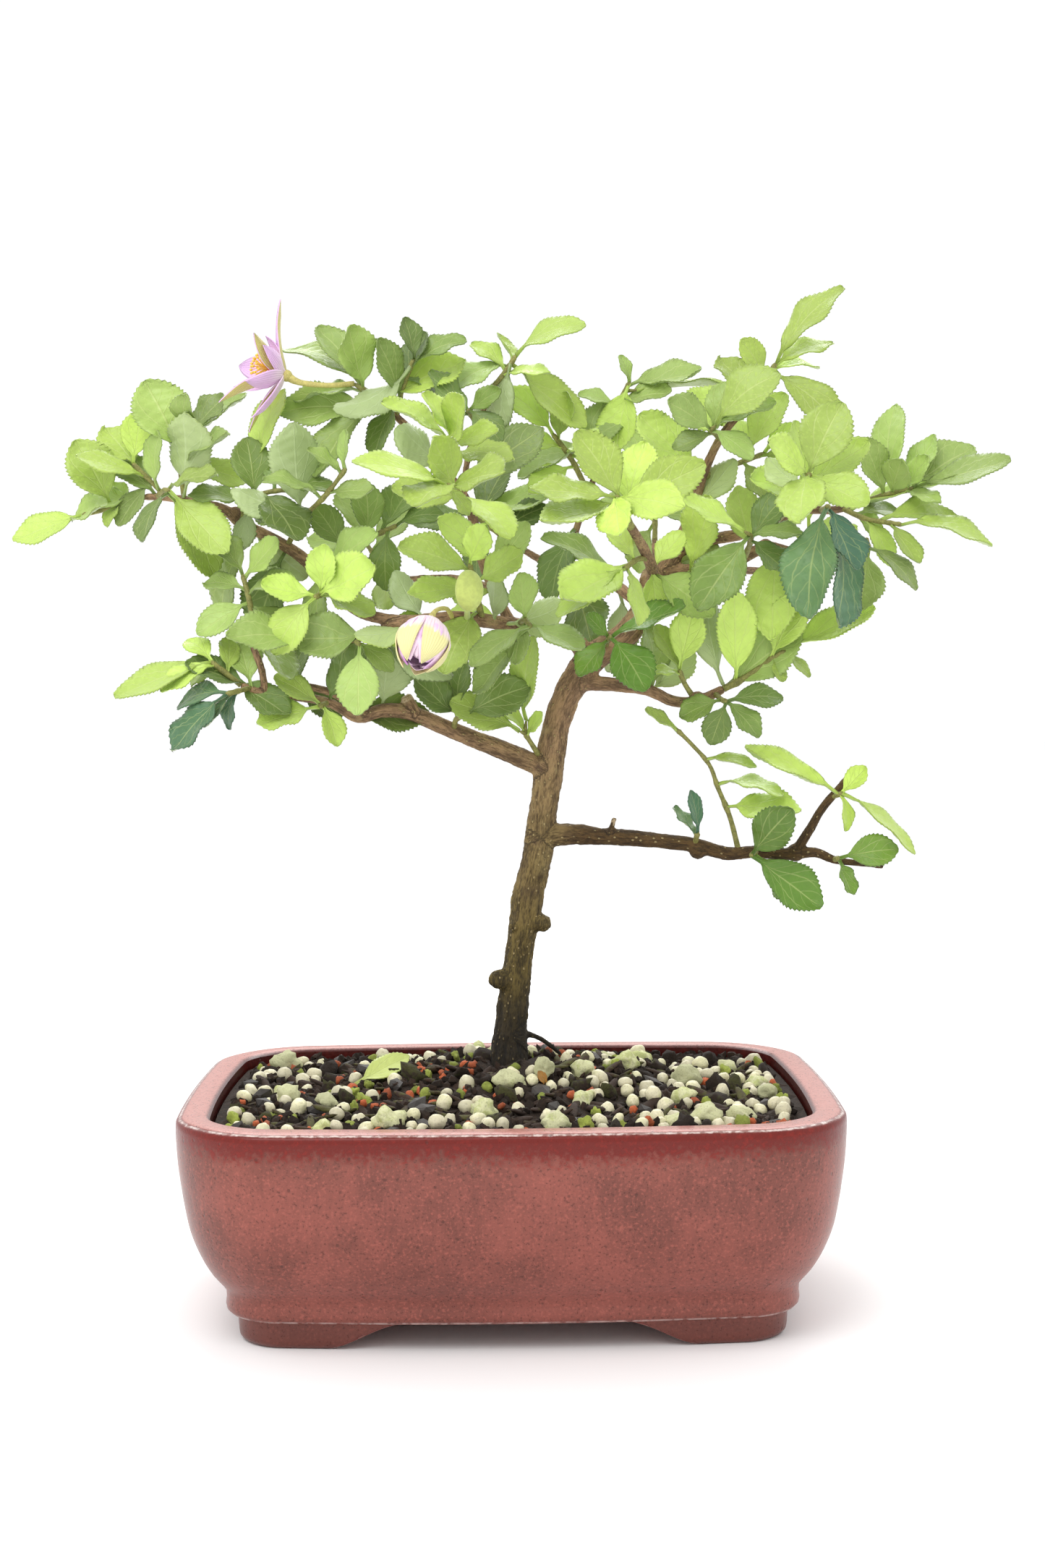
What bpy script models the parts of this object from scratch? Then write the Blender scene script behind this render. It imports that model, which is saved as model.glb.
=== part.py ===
"""Lavender starflower bonsai in a glazed oval-cornered pot, with its soil, wood, leafy stems and flowers.

Metres, +Z up. The floor is z = 0 and the pot's centre is x = y = 0. The front faces -Y.
"""

import math
import random

import bmesh
import bpy
from mathutils import Matrix, Vector
from mathutils.bvhtree import BVHTree
from mathutils.geometry import delaunay_2d_cdt

MM = 0.001
SEED = 41

# Pot
POT_LENGTH = 204.5 * MM
POT_DEPTH = 158.0 * MM
POT_BOW_LONG = 4.7 * MM
POT_BOW_SHORT = 3.3 * MM
POT_CORNER = 30.0 * MM
SHARPEST_CORNER = 12.0 * MM
FLOOR_TOP = 17.0 * MM
# Height and inset from the widest outline in millimetres: up the outside, over the rim, down the inside.
POT_OUTSIDE = ((7.4, 22.0), (8.8, 15.6), (11.5, 14.2), (15.8, 14.3), (21.0, 10.2), (27.0, 6.8), (35.0, 3.8),
               (45.0, 1.9), (56.0, 0.5), (67.3, 0.0), (69.3, 0.9), (70.0, 2.8))
POT_INSIDE = ((70.0, 9.0), (69.0, 10.2), (48.0, 11.2), (30.0, 14.6), (19.2, 23.0), (17.0, 30.0))
FOOT_OUTSIDE = ((0.0, 19.8), (1.6, 18.2), (8.9, 17.6))
FOOT_INSIDE = ((8.9, 35.0), (0.0, 34.0))
ARCH_TOP = 8.2 * MM
ARCH_LONG = (57.0 * MM, 36.0 * MM)
ARCH_SHORT = (37.0 * MM, 22.0 * MM)
ARCH_STEPS = 5
ARCH_EASE = 0.4
CUTTER_BELOW = 5.0 * MM
DRAIN_X = 46.0 * MM
DRAIN_RADIUS = 8.0 * MM
SCREEN_SIDE = 25.0 * MM
SCREEN_THICK = 1.2 * MM
SCREEN_HOLES = 2
SCREEN_HOLE = 7.5 * MM
SCREEN_FRAME = 0.4
GAP = 0.3 * MM
TRUNK_ROOM = 0.5 * MM

SHARP_ANGLE = math.radians(28)

# Soil
SOIL_EDGE = 65.0 * MM
SOIL_MOUND = 9.0 * MM
SOIL_MOUND_REACH = (44.0 * MM, 36.0 * MM)
SOIL_GRAIN = 3.4 * MM
LEAST_GRAIN = 0.45
GRAIN_PITCH = 7.6 * MM
GRAIN_ROW = 6.4 * MM
GRAIN_SHAKE = 0.22
GRAIN_MARGIN = 3.0 * MM
DELAUNAY_GAP = 0.001 * MM
SOIL_LIP = 66.2 * MM
SOIL_TOP_INSET = 11.2 * MM
SOIL_STEPS = {"corner_steps": 3, "long_steps": 8, "short_steps": 5}
SOIL_BELOW = ((17.3, 30.6), (19.5, 23.6), (30.2, 15.1), (48.0, 11.7))

# Where a viewer stands: routes are written as seen over the trunk's plane, each point with its depth.
EYE = Vector((-6.0, -724.8, 204.4))
TRUNK_DEPTH = 12.0

# Leaves: a long one is narrower and has three teeth to a side, a short one has one and the rest have two.
BLADE_THICK = 0.7 * MM
PETAL_THICK = 0.8 * MM
BLADE_RATIO = 0.58
LONG_RATIO = 0.8
BLADE_CURL = 0.1
BLADE_FOLD = 0.16
TOOTH_PEAK = 0.6
TOOTH_NOTCH = 0.84
PETIOLE_SHARE = 0.15
PETIOLE_HALF = 0.6 * MM
LONG_LEAF = 31.0 * MM
MANY_TEETH = 34.0 * MM
SHORT_BLADE = 22.0 * MM
CLEARANCE = 0.5 * MM
TWIG_SIDES = 4
TRUNK_SIDES = 9
LIMB_SIDES = 6
THIN_LIMB_SIDES = 5
THIN_LIMB = 2.0
# A leaf that would cross something else is moved in depth by these steps, then made shorter.
DEPTH_STEPS = (0, -4, 4, -8, 8, -13, 13, -19, 19, -26, 26)
SHRINKS = (1.0, 0.82, 0.66)
# Blades of one stem may share this much of their length at the root.
OWN_OVERLAP = 0.15
# Share of a stem's triangles that is kept where its blades were joined to the twig.
STEM_SLIM = 0.81

# Limbs: every point is (x, z, depth, radius) in millimetres as seen over the trunk's plane.
TRUNK = ((0.5, 56, 12, 5.0), (0, 68, 12, 7.0), (0, 77, 12, 6.5), (0.5, 88, 12, 5.5), (3, 108, 12, 4.9),
         (6.5, 130, 12, 5.3), (10, 146, 12, 5.1), (12, 160, 12, 4.7), (14, 174, 12, 5.2), (17, 190, 13, 4.6),
         (22, 202, 14, 5.0), (29, 211, 15, 5.2), (38, 217, 17, 4.6), (45, 225, 19, 4.4), (50, 236, 20, 4.3),
         (54, 242, 20, 3.6), (59, 250, 20, 3.0), (63, 259, 19, 2.3))
LIMBS = {
    "lower_left": ((13, 174, 12, 3.6), (2, 179, 11.5, 3.3), (-8, 183, 10, 3.1), (-18, 187, 8, 2.9),
                   (-32, 193, 5, 2.6), (-42, 194, 3, 2.4), (-50, 192, 2, 2.1), (-60, 197, 1, 1.6),
                   (-72, 199, 0, 1.4), (-81, 200, -1, 1.3), (-89, 203, -2, 1.2)),
    "lower_left_cut": ((-31, 193, 5, 2.2), (-34, 199, 4, 2.0)),
    "lower_left_back": ((-48, 193, 2, 1.6), (-58, 200, 8, 1.5), (-70, 203, 14, 1.2)),
    "left_upright": ((-81, 200, -1, 1.2), (-82, 208, -1, 1.3), (-85, 217, 0, 1.2), (-85, 225, 1, 1.1)),
    "lower_right": ((10, 151, 12, 4.2), (20, 152, 12, 3.6), (32, 151, 11, 3.0), (46, 150, 10, 2.7),
                    (62, 148, 9, 2.5), (74, 145, 8, 2.3), (84, 145.5, 7, 2.1), (94, 144.5, 6, 2.2),
                    (104, 145, 4, 1.7), (110, 142.5, 3, 1.4), (120, 141, 2, 1.1), (127, 140, 2, 0.9)),
    "lower_right_nub": ((34, 151, 11, 1.0), (36, 157.5, 11, 0.9)),
    "lower_right_cut": ((97, 145, 6, 1.9), (102, 153, 5, 1.7), (107, 161, 4, 1.5), (116, 171, 3, 1.4)),
    "left": ((28, 211, 14, 3.4), (20, 219, 10, 3.0), (4, 222, 0, 2.7), (-8, 224, -10, 2.4),
             (-18, 225, -16, 2.2),
             (-36, 223.5, -14, 1.7), (-41, 221, -11, 1.5), (-51, 218, -8, 1.3), (-64, 218, -6, 1.1)),
    "upper_left": ((-30, 224, -14, 1.9), (-42, 225, -10, 1.9), (-52, 229, -4, 1.9), (-63, 241, 4, 2.1),
                   (-73, 249, 9, 2.1), (-88, 257, 15, 2.1), (-95, 262, 18, 1.8), (-111, 265.5, 24, 1.5),
                   (-120, 266, 27, 1.2)),
    "top": ((2, 222, 0, 2.0), (-4, 234, 2, 1.9), (-9, 248, 4, 1.8), (-12, 262, 6, 1.7), (-20, 274, 8, 1.6),
            (-28, 284, 9, 1.5), (-38, 294, 10, 1.3)),
    "top_small": ((-14, 266, 6, 1.2), (-12, 280, 12, 1.1), (-8, 291, 16, 1.1), (-4.5, 301, 18, 1.0)),
    "behind": ((44, 230, 19, 2.2), (34, 237, 28, 1.9), (22, 240, 36, 1.7), (12, 244, 42, 1.4),
               (2, 250, 50, 1.2)),
    "top_back": ((21, 240, 36, 1.3), (24, 255, 38, 1.3), (30, 272, 37, 1.2), (34, 287, 35, 1.1)),
    "right_middle": ((26, 203, 14, 2.9), (38, 202, 12, 2.3), (48, 200, 10, 2.0), (56, 196.5, 9, 2.0),
                     (64, 196, 8, 2.1), (69, 198.5, 8, 1.7), (73, 200.5, 7.5, 1.5)),
    "right_high": ((53, 240, 20, 2.8), (62, 240, 19, 2.5), (74, 241.5, 17, 2.3), (87, 247.5, 15, 2.1),
                   (100, 245, 13, 1.9), (112, 247, 11, 1.5), (121, 250, 10, 1.2)),
    "right_top": ((57, 246, 20, 2.4), (66, 250, 24, 2.2), (78, 252, 26, 2.0), (89, 256, 26, 1.9),
                  (98, 260, 25, 1.7), (110, 260, 24, 1.5), (121, 263, 23, 1.3)),
    "crown_rise": ((62, 257, 19, 1.9), (66, 271, 18, 1.7), (72, 284, 17, 1.5), (80, 294, 16, 1.3)),
    "front_rise": ((49, 234, 20, 2.2), (49, 241, 2, 2.0), (46, 248, -18, 1.8), (42, 255, -38, 1.5)),
    "back_centre": ((46, 229, 19, 2.1), (50, 240, 42, 1.6), (50, 250, 58, 1.2)),
    "back_left": ((-4, 234, 2, 1.6), (-16, 238, 26, 1.4), (-34, 238, 46, 1.2)),
    "back_right": ((72, 241.2, 17, 1.6), (82, 240, 38, 1.4), (92, 240, 54, 1.2)),
    "surface_root": ((2, 85, 12, 1.5), (8.5, 83.6, 14, 1.0), (13.5, 80.6, 17, 0.9), (17.5, 77, 20, 0.8)),
}
KNOBS = ((-3.9, 103, 8, 2.9), (11.2, 122, 10, 2.9), (1.5, 121, 7.6, 1.6), (12, 176, 8.5, 2.2),
         (64, 197, 7, 2.6),
         (87, 248, 14, 2.6), (97, 145, 6, 3.0), (64, 146, 9, 2.9), (-90, 260, 16.5, 2.5), (49, 238, 17, 3.6))

# Leafy stems: tone, the twig's route, and leaves of (share along the twig, tip x, z and depth, seen width).
# A seen width near the blade's own ratio of width to length faces the front, and a small one is near edge on.
STEMS = {
    "stem_far_left": ("mid", ((-120, 266, 27, 1.2), (-131, 262.5, 29, 1.0), (-141, 260, 30, 0.8)), (
        (1.0, -164.4, 252, 30, 0.5), (0.3, -133, 256, 22, 0.45), (0.5, -143, 285, 27, 0.58),
        (0.2, -131, 271, 36, 0.5))),
    "stem_left_crown": ("young", ((-113, 265.6, 25, 1.1), (-118, 271, 25, 0.9), (-124, 277, 26, 0.8)), (
        (0.5, -143, 279.5, 16, 0.4), (1.0, -121, 295, 27, 0.58), (0.8, -133, 289, 36, 0.55))),
    "stem_left_up": ("mid", ((-107, 265, 23, 1.1), (-108, 277, 24, 1.0), (-105, 288, 25, 0.8)), (
        (0.55, -119.5, 304.5, 26, 0.58), (0.95, -106, 300, 16, 0.5), (1.0, -93.5, 300, 26, 0.5),
        (0.75, -86, 300, 34, 0.3), (0.35, -92, 286.5, 12, 0.3), (0.85, -115, 288, 38, 0.5))),
    "stem_left_drop": ("bright", ((-116, 265.9, 26, 1.0), (-114, 268, 16, 0.9), (-112, 268, 8, 0.8)), (
        (1.0, -93, 247, -4, 0.58), (0.6, -97.5, 239, 16, 0.5), (0.8, -96, 273, 2, 0.35))),
    "stem_left_mid": ("deep", ((-88, 257, 15, 1.2), (-86, 263, 11, 1.0), (-80, 267, 8, 0.9),
                               (-72, 268, 5, 0.8)), (
        (0.35, -86, 285.5, 12, 0.58), (0.75, -75.5, 281.5, 10, 0.55), (0.2, -106, 266, 6, 0.4),
        (1.0, -57, 268, -2, 0.4), (0.5, -69, 251, -6, 0.5))),
    "stem_left_arch": ("mid", ((-73, 249, 9, 1.2), (-68, 258, 2, 1.0), (-60, 266, -5, 0.9),
                               (-53, 275, -8, 0.8)), (
        (0.95, -66, 281.5, -12, 0.38), (1.0, -53, 288, -8, 0.35), (0.3, -87, 259, -10, 0.5),
        (0.7, -44, 268, -12, 0.5), (0.6, -81, 271, -8, 0.3))),
    "stem_flower": ("mid", ((-38, 294, 10, 1.3), (-44, 299, 9, 1.0), (-50, 303, 8, 0.9)), (
        (0.4, -63.5, 272, 2, 0.45), (0.7, -73.5, 314, 24, 0.42), (0.8, -62, 322, 14, 0.5),
        (0.75, -51, 322.5, -4, 0.5), (0.6, -70, 297, 16, 0.3))),
    "stem_top_mid": ("deep", ((-36, 292, 9.8, 1.2), (-34, 301, 8, 0.9), (-30, 311, 6, 0.8)), (
        (0.15, -42, 318, -3, 0.45), (0.5, -26, 320, 12, 0.4), (0.85, -12.5, 317.5, 8, 0.45),
        (1.0, -33, 325, 5, 0.5), (0.6, -18, 300, 14, 0.5), (0.1, -44, 279, 2, 0.45))),
    "stem_top_small": ("bright", ((-4.5, 301, 18, 1.0), (0, 306, 18, 0.9), (4, 312, 18, 0.8)), (
        (1.0, 27.5, 322, 12, 0.42), (0.35, 15.5, 306, 12, 0.35), (0.5, -11, 316, 22, 0.45),
        (0.85, -1.5, 319, 26, 0.3))),
    "stem_top_low": ("deep", ((-9, 289, 15, 1.1), (-11, 292, 9, 0.9), (-12, 294, 3, 0.8)), (
        (0.6, -25, 307, 4, 0.42), (0.9, -1, 301, -2, 0.58), (1.0, -1, 283, -2, 0.58),
        (0.7, -25, 290, -3, 0.5))),
    "stem_top_front": ("young", ((-20, 274, 8, 1.2), (-18, 278, -2, 1.0), (-17, 283, -12, 0.8)), (
        (0.8, -41, 297, -18, 0.3), (1.0, -27, 300, -20, 0.35), (0.95, -14, 299, -20, 0.4),
        (0.9, -2, 287, -22, 0.5), (0.5, 3, 277, -14, 0.45))),
    "stem_front_yellow": ("young", ((-12, 262, 6, 1.5), (-14, 264, -20, 1.2), (-17, 267, -44, 1.0),
                                    (-19, 269, -56, 0.9)), (
        (1.0, -51, 277, -68, 0.4), (0.9, 0, 274, -70, 0.45), (0.95, -30, 262, -72, 0.45),
        (0.8, -24, 285, -60, 0.5), (1.0, -12, 259, -72, 0.5), (0.5, 2, 251, -40, 0.4),
        (0.4, -38, 268, -30, 0.5))),
    "stem_front_bright": ("young", ((42, 255, -38, 1.5), (40, 260, -54, 1.1), (37, 265, -64, 0.9)), (
        (1.0, 8, 268, -66, 0.42), (0.95, 60, 261, -80, 0.58), (0.8, 12, 257, -70, 0.35),
        (0.75, 24, 287, -58, 0.55),
        (0.7, 67, 276, -54, 0.58), (0.5, 47, 283, -44, 0.55), (1.0, 38, 252, -78, 0.5))),
    "stem_front_low": ("bright", ((47.5, 244.5, -8, 1.4), (44, 244, -20, 1.0), (40, 241, -32, 0.8)), (
        (0.7, 19, 231, -44, 0.5), (1.0, 17, 225, -34, 0.35), (0.9, 44, 222, -42, 0.3),
        (0.4, 33, 256, -26, 0.5))),
    "stem_mid_low": ("mid", ((4, 222, 0, 1.4), (6, 224, -14, 1.0), (8, 222, -26, 0.8)), (
        (1.0, -12, 208.5, -34, 0.4), (0.7, 3, 209, -26, 0.55), (0.5, 5, 240, -24, 0.5),
        (0.9, 26, 214, -32, 0.4))),
    "stem_bud": ("bright", ((-8, 224, -10, 1.4), (-10, 234, -22, 1.0), (-12, 243, -30, 0.8)), (
        (0.8, -36, 249, -36, 0.5), (1.0, -6, 256, -40, 0.55), (0.55, -33, 233, -30, 0.5),
        (0.6, 6, 247, -28, 0.5))),
    "stem_left_inner": ("mid", ((-51, 218, -8, 1.2), (-50, 217, -15, 0.9), (-49, 216, -20, 0.8)), (
        (1.0, -50, 192.5, -26, 0.58), (0.5, -38, 207, -16, 0.5))),
    "stem_left_tip": ("young", ((-64, 218, -6, 1.1), (-67, 217.5, -7, 0.8)), ((1.0, -73, 215, -8, 0.5),)),
    "stem_left_face": ("bright", ((-57, 234, 0, 1.3), (-62, 233, -8, 0.9), (-64, 232, -12, 0.8)), (
        (1.0, -78, 213, -14, 0.58), (0.6, -44, 226, -14, 0.4), (0.5, -60, 250, -14, 0.55),
        (0.9, -82, 237, -16, 0.5), (0.7, -44, 243, -16, 0.58))),
    "stem_low_left_tip": ("bright", ((-89, 203, -2, 1.2), (-94, 207, -3, 0.9), (-99, 211, -4, 0.8)), (
        (1.0, -131.5, 199.5, -6, 0.38), (0.95, -107, 218, 4, 0.5), (0.85, -116, 201, -12, 0.45),
        (0.6, -105, 205, 8, 0.5), (0.4, -93, 219, 6, 0.5))),
    "stem_low_left_drop": ("blue", ((-86, 202, -1.8, 1.1), (-90, 201, -8, 0.9), (-94, 200, -12, 0.8)), (
        (1.0, -112.5, 181, -16, 0.4), (0.8, -102, 189, -20, 0.3), (0.5, -93, 188, -8, 0.4),
        (0.9, -110, 196, -4, 0.4))),
    "stem_left_upright": ("mid", ((-85, 225, 1, 1.1), (-86, 232, 1, 0.9), (-88, 240, 2, 0.8)), (
        (0.3, -103.5, 220, -2, 0.55), (0.6, -101, 237, 8, 0.5), (1.0, -97, 254, 0, 0.5),
        (0.9, -76, 252, -4, 0.5),
        (0.5, -70, 238, -4, 0.4), (0.2, -73, 221, 2, 0.5))),
    "stem_low_left_hang": ("bright", ((-60, 197, 1, 1.3), (-63, 195.5, -5, 0.8)), (
        (1.0, -84, 190, -8, 0.42), (0.6, -78, 206, -6, 0.5), (0.5, -57, 182, -6, 0.5))),
    "stem_low_left_in": ("deep", ((-18, 187, 8, 1.4), (-17, 191, 2, 0.9), (-14, 192, -2, 0.8)), (
        (1.0, 8, 202, -6, 0.58), (0.7, -31, 206, -6, 0.5), (0.5, -14, 211, 6, 0.5))),
    "stem_axil": ("bright", ((11, 178, 11, 1.2), (6, 186, 4, 0.8)), ((1.0, -3, 195, 4, 0.35),
                                                                     (0.9, 12, 193, -1, 0.4))),
    "stem_trunk_face": ("deep", ((33, 214, 16, 1.3), (34, 217, 6, 0.9), (35, 218, -2, 0.8)), (
        (1.0, 47, 200, -10, 0.58), (0.8, 27, 226, -6, 0.55), (0.9, 60, 229, -10, 0.3),
        (0.6, 24, 205, 0, 0.5))),
    "stem_right_mid_tip": ("bright", ((73, 200.5, 7.5, 1.5), (79, 203.5, 6.5, 1.3), (86, 208, 6, 1.1),
                                      (90, 211, 5, 0.9), (94, 213, 4, 0.8)), (
        (0.1, 77, 233.5, -4, 0.58), (0.75, 99, 233, 0, 0.58), (1.0, 124, 227.5, 4, 0.45),
        (0.8, 93, 202.5, 0, 0.5), (0.97, 102, 204, 2, 0.4))),
    "stem_right_mid_up": ("bright", ((64, 196, 8, 1.4), (60, 202, 6, 1.0), (58, 207, 4, 0.8)), (
        (1.0, 63, 228, 0, 0.58), (0.8, 48, 206, 0, 0.4), (0.9, 50, 222, 8, 0.5))),
    "stem_right_mid_low": ("deep", ((70, 199, 8, 1.3), (72, 197, 2, 0.9), (74, 196, -2, 0.8)), (
        (1.0, 68.5, 181.5, -4, 0.58), (0.9, 85, 184, -6, 0.5), (0.95, 93, 197, 2, 0.5),
        (0.6, 58, 191, 6, 0.5))),
    "stem_low_thin": ("bright", ((78, 145, 8, 1.2), (75, 157, 6, 1.0), (71, 167, 4, 0.9), (68, 175, 3, 0.8),
                                 (62, 182, 2, 0.8), (57, 187, 1, 0.8)), (
        (1.0, 46.5, 194, 0, 0.3), (0.68, 84, 174, 0, 0.25), (0.25, 99, 159, -4, 0.45),
        (0.45, 93, 164, 6, 0.25))),
    "stem_low_small": ("blue", ((63, 148, 9, 1.2), (64, 152, 3, 0.8)), ((1.0, 61.5, 166.5, 2, 0.4),
                                                                        (0.7, 56, 161, 8, 0.3))),
    "stem_low_fan": ("mid", ((84, 145.5, 7, 1.2), (83, 145, 1, 0.9), (82, 144, -3, 0.8)), (
        (0.9, 96, 160, -8, 0.58), (1.0, 106, 126.5, -4, 0.58), (0.5, 94, 129, 6, 0.5))),
    "stem_low_tip": ("mid", ((110, 142.5, 3, 1.2), (112, 143, -2, 0.8)), (
        (1.0, 132, 146, -4, 0.58), (0.7, 117, 130.5, -2, 0.42))),
    "stem_low_cut": ("young", ((109, 163.5, 3.7, 1.0), (113, 165, 0, 0.8)), (
        (1.0, 137.5, 144, -2, 0.25), (0.7, 121, 174, 0, 0.5), (0.5, 114, 152, 0, 0.4),
        (0.3, 80, 181, 0, 0.3))),
    "stem_right_tip": ("mid", ((121, 263, 23, 1.3), (128, 265, 20, 1.0), (137, 267, 16, 0.8)), (
        (1.0, 169.7, 276.6, 5, 0.38), (0.95, 157, 281, 14, 0.5), (0.85, 142, 278, 8, 0.45),
        (0.5, 133, 277, 6, 0.5), (0.75, 144, 285, 28, 0.4), (0.3, 120, 284, 14, 0.5),
        (0.55, 131, 295, 28, 0.4),
        (0.8, 146, 262, 8, 0.45))),
    "stem_right_low": ("bright", ((113, 260.6, 23.8, 1.2), (121, 257, 16, 0.9), (133, 255, 10, 0.8)), (
        (1.0, 163.5, 247.5, 8, 0.35), (0.8, 139, 242, 4, 0.45), (0.6, 152, 256, 18, 0.45),
        (0.3, 129, 241, 14, 0.5))),
    "stem_right_high_end": ("mid", ((121, 250, 10, 1.2), (122, 247, 6, 0.8)), (
        (1.0, 119, 226.5, 2, 0.58), (0.8, 138, 233, 4, 0.4))),
    "stem_right_blue": ("blue", ((106, 260, 24, 1.3), (108, 261, 6, 1.0), (108, 261, -8, 0.9)), (
        (1.0, 101, 224, -18, 0.5), (0.9, 118, 240, -14, 0.45), (0.5, 112, 221, 4, 0.3))),
    "stem_right_front": ("bright", ((91, 257, 26, 1.7), (96, 262, 0, 1.4), (100, 268, -26, 1.1),
                                    (102, 272, -40, 0.9)), (
        (1.0, 122, 262, -50, 0.58), (0.9, 113, 296, -34, 0.58), (0.8, 122, 283, -28, 0.5),
        (0.95, 88, 283, -48, 0.5),
        (1.0, 99, 256, -56, 0.5), (0.65, 97, 290, -18, 0.5), (0.45, 82, 271, -20, 0.5))),
    "stem_right_inner": ("deep", ((80, 244.3, 16, 1.5), (82, 249, 4, 1.0), (82, 252, -6, 0.9)), (
        (1.0, 64, 227, -14, 0.58), (0.7, 96, 239, -8, 0.5), (0.5, 95, 266, 0, 0.5),
        (0.9, 100, 252, -10, 0.4))),
    "stem_top_right": ("young", ((80, 294, 16, 1.3), (86, 302, 14, 1.0), (91, 309, 12, 0.8)), (
        (1.0, 113.5, 334, 10, 0.42), (0.6, 79, 317, 4, 0.55), (0.95, 110, 315.5, 18, 0.4),
        (0.8, 105, 307, 22, 0.35),
        (0.3, 72, 311, 26, 0.5))),
    "stem_crown_mid": ("mid", ((72, 284, 17, 1.3), (70, 286, 8, 0.9), (69, 287, 0, 0.8)), (
        (1.0, 54.5, 297, -6, 0.58), (0.7, 75, 303, 4, 0.55), (0.95, 83, 277, -6, 0.55),
        (0.8, 91, 296, -2, 0.4),
        (0.5, 56, 281, 10, 0.5))),
    "stem_crown_side": ("bright", ((66, 271, 18, 1.4), (76, 275, 24, 1.0), (87, 279, 28, 0.8)), (
        (1.0, 99, 288, 28, 0.5), (0.9, 106, 276, 22, 0.5), (0.6, 88, 263, 18, 0.5), (0.7, 73, 292, 34, 0.5))),
    "stem_top_back": ("mid", ((34, 287, 35, 1.1), (38, 296, 34, 0.9), (42, 303, 32, 0.8)), (
        (1.0, 38.5, 312, 30, 0.5), (0.95, 66, 307.5, 30, 0.38), (0.5, 56, 300, 24, 0.45),
        (0.4, 24.5, 299, 34, 0.45))),
    "stem_top_back_low": ("bright", ((28, 266, 37.5, 1.3), (22, 278, 34, 1.0), (16, 286, 30, 0.8)), (
        (1.0, 0, 301, 26, 0.5), (0.85, 21, 300, 26, 0.5), (0.7, 2, 286, 32, 0.5), (0.5, 38, 278, 28, 0.5),
        (0.3, 8, 266, 30, 0.5), (0.6, 32, 285, 20, 0.4))),
    "stem_mid_left": ("deep", ((-63, 241, 4, 1.5), (-55, 247, 10, 1.1), (-45, 252, 13, 1.0),
                               (-36, 256, 15, 0.8)), (
        (0.3, -64, 263, 10, 0.58), (0.6, -47, 271, 10, 0.55), (1.0, -20, 259, 12, 0.5),
        (0.9, -40, 234, 8, 0.58),
        (0.8, -30, 272, 20, 0.5), (0.5, -54, 230, 12, 0.5))),
    "stem_behind": ("deep", ((2, 250, 50, 1.2), (-5, 255, 54, 1.0), (-12, 260, 56, 0.8)), (
        (0.5, -10, 238, 60, 0.5), (1.0, -31, 257, 58, 0.5), (0.8, 0, 276, 60, 0.5), (0.2, 14, 262, 46, 0.5))),
    "stem_back_centre": ("mid", ((50, 250, 58, 1.2), (50, 258, 64, 1.0), (48, 268, 68, 0.8)), (
        (1.0, 42, 288, 70, 0.5), (0.9, 66, 276, 76, 0.5), (0.7, 30, 262, 76, 0.5), (0.5, 66, 258, 70, 0.5),
        (0.3, 44, 240, 76, 0.5))),
    "stem_back_left": ("mid", ((-34, 238, 46, 1.2), (-42, 244, 54, 1.0), (-48, 252, 60, 0.8)), (
        (1.0, -54, 270, 64, 0.5), (0.9, -66, 252, 70, 0.5), (0.7, -32, 262, 66, 0.5),
        (0.5, -40, 228, 68, 0.5),
        (0.3, -56, 240, 48, 0.5))),
    "stem_back_right": ("bright", ((92, 240, 54, 1.2), (98, 246, 60, 1.0), (102, 254, 64, 0.8)), (
        (1.0, 106, 274, 68, 0.5), (0.9, 118, 254, 72, 0.5), (0.7, 84, 262, 70, 0.5), (0.5, 104, 230, 66, 0.5),
        (0.3, 112, 242, 52, 0.5))),
}

# Flowers: stalk routes and centres as for the stems.
OPEN_FLOWER_STALK = ((-50, 303, 8, 1.1), (-59, 302.5, 6, 1.0), (-68, 303.5, 5, 1.1), (-72, 305.5, 5, 2.0))
OPEN_FLOWER_CENTRE = (-72.5, 305.8, 5)
OPEN_FLOWER_FACES = Vector((-0.92, -0.12, 0.36))
SEPAL_TIPS = ((-74, 331, 6), (-83, 320, -9), (-95, 297, -6), (-85, 287, 9), (-88, 309, 26))
PETAL_TIPS = ((-79, 319, 10), (-86, 304, -9), (-84, 292, -3), (-90, 302, 12), (-80, 316, -6))
STAMENS = 6
STAMEN_TURN = 2.4
STAMEN_LENGTH = 11.0 * MM
HALF_OPEN_STALK = ((-18, 225, -16, 1.3), (-20, 228, -34, 1.1), (-24, 227, -48, 1.1))
HALF_OPEN_CENTRE = (-27.5, 217.5, -54)
HALF_OPEN_SIZE = Vector((8.6, 8.2, 10.0)) * MM
HALF_OPEN_SEPALS = 5
BUD_STALK = ((-13, 224.6, -13, 1.3), (-13, 227, -30, 1.1), (-13, 229, -42, 1.1))
BUD_CENTRE = (-12.5, 234, -46)
BUD_SIZE = Vector((4.6, 4.6, 6.4)) * MM

# Loose leaves resting on the soil: base and tip (x, y) in millimetres, the step by which each is raised until
# it is clear of the soil, how far it leans over towards the front, and how steeply its tip rises.
FALLEN_LEAF = ((-51.5, -2.0), (-34.0, 9.0))
DEAD_LEAF = ((11.5, -14.0), (9.0, -14.5))
LEAF_STEP = 0.05 * MM
FALLEN_LEAF_LEAN = math.radians(30)
FALLEN_LEAF_RISE = math.radians(20)
DEAD_LEAF_LEAN = math.radians(-70)
DEAD_LEAF_RISE = math.radians(64)


def seen(x, z, depth):
    """Place at a depth that the viewer sees over (x, z) of the trunk's plane, in metres."""
    reach = (depth - EYE.y) / (TRUNK_DEPTH - EYE.y)
    return Vector((EYE.x + (x - EYE.x) * reach, depth, EYE.z + (z - EYE.z) * reach)) * MM


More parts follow.
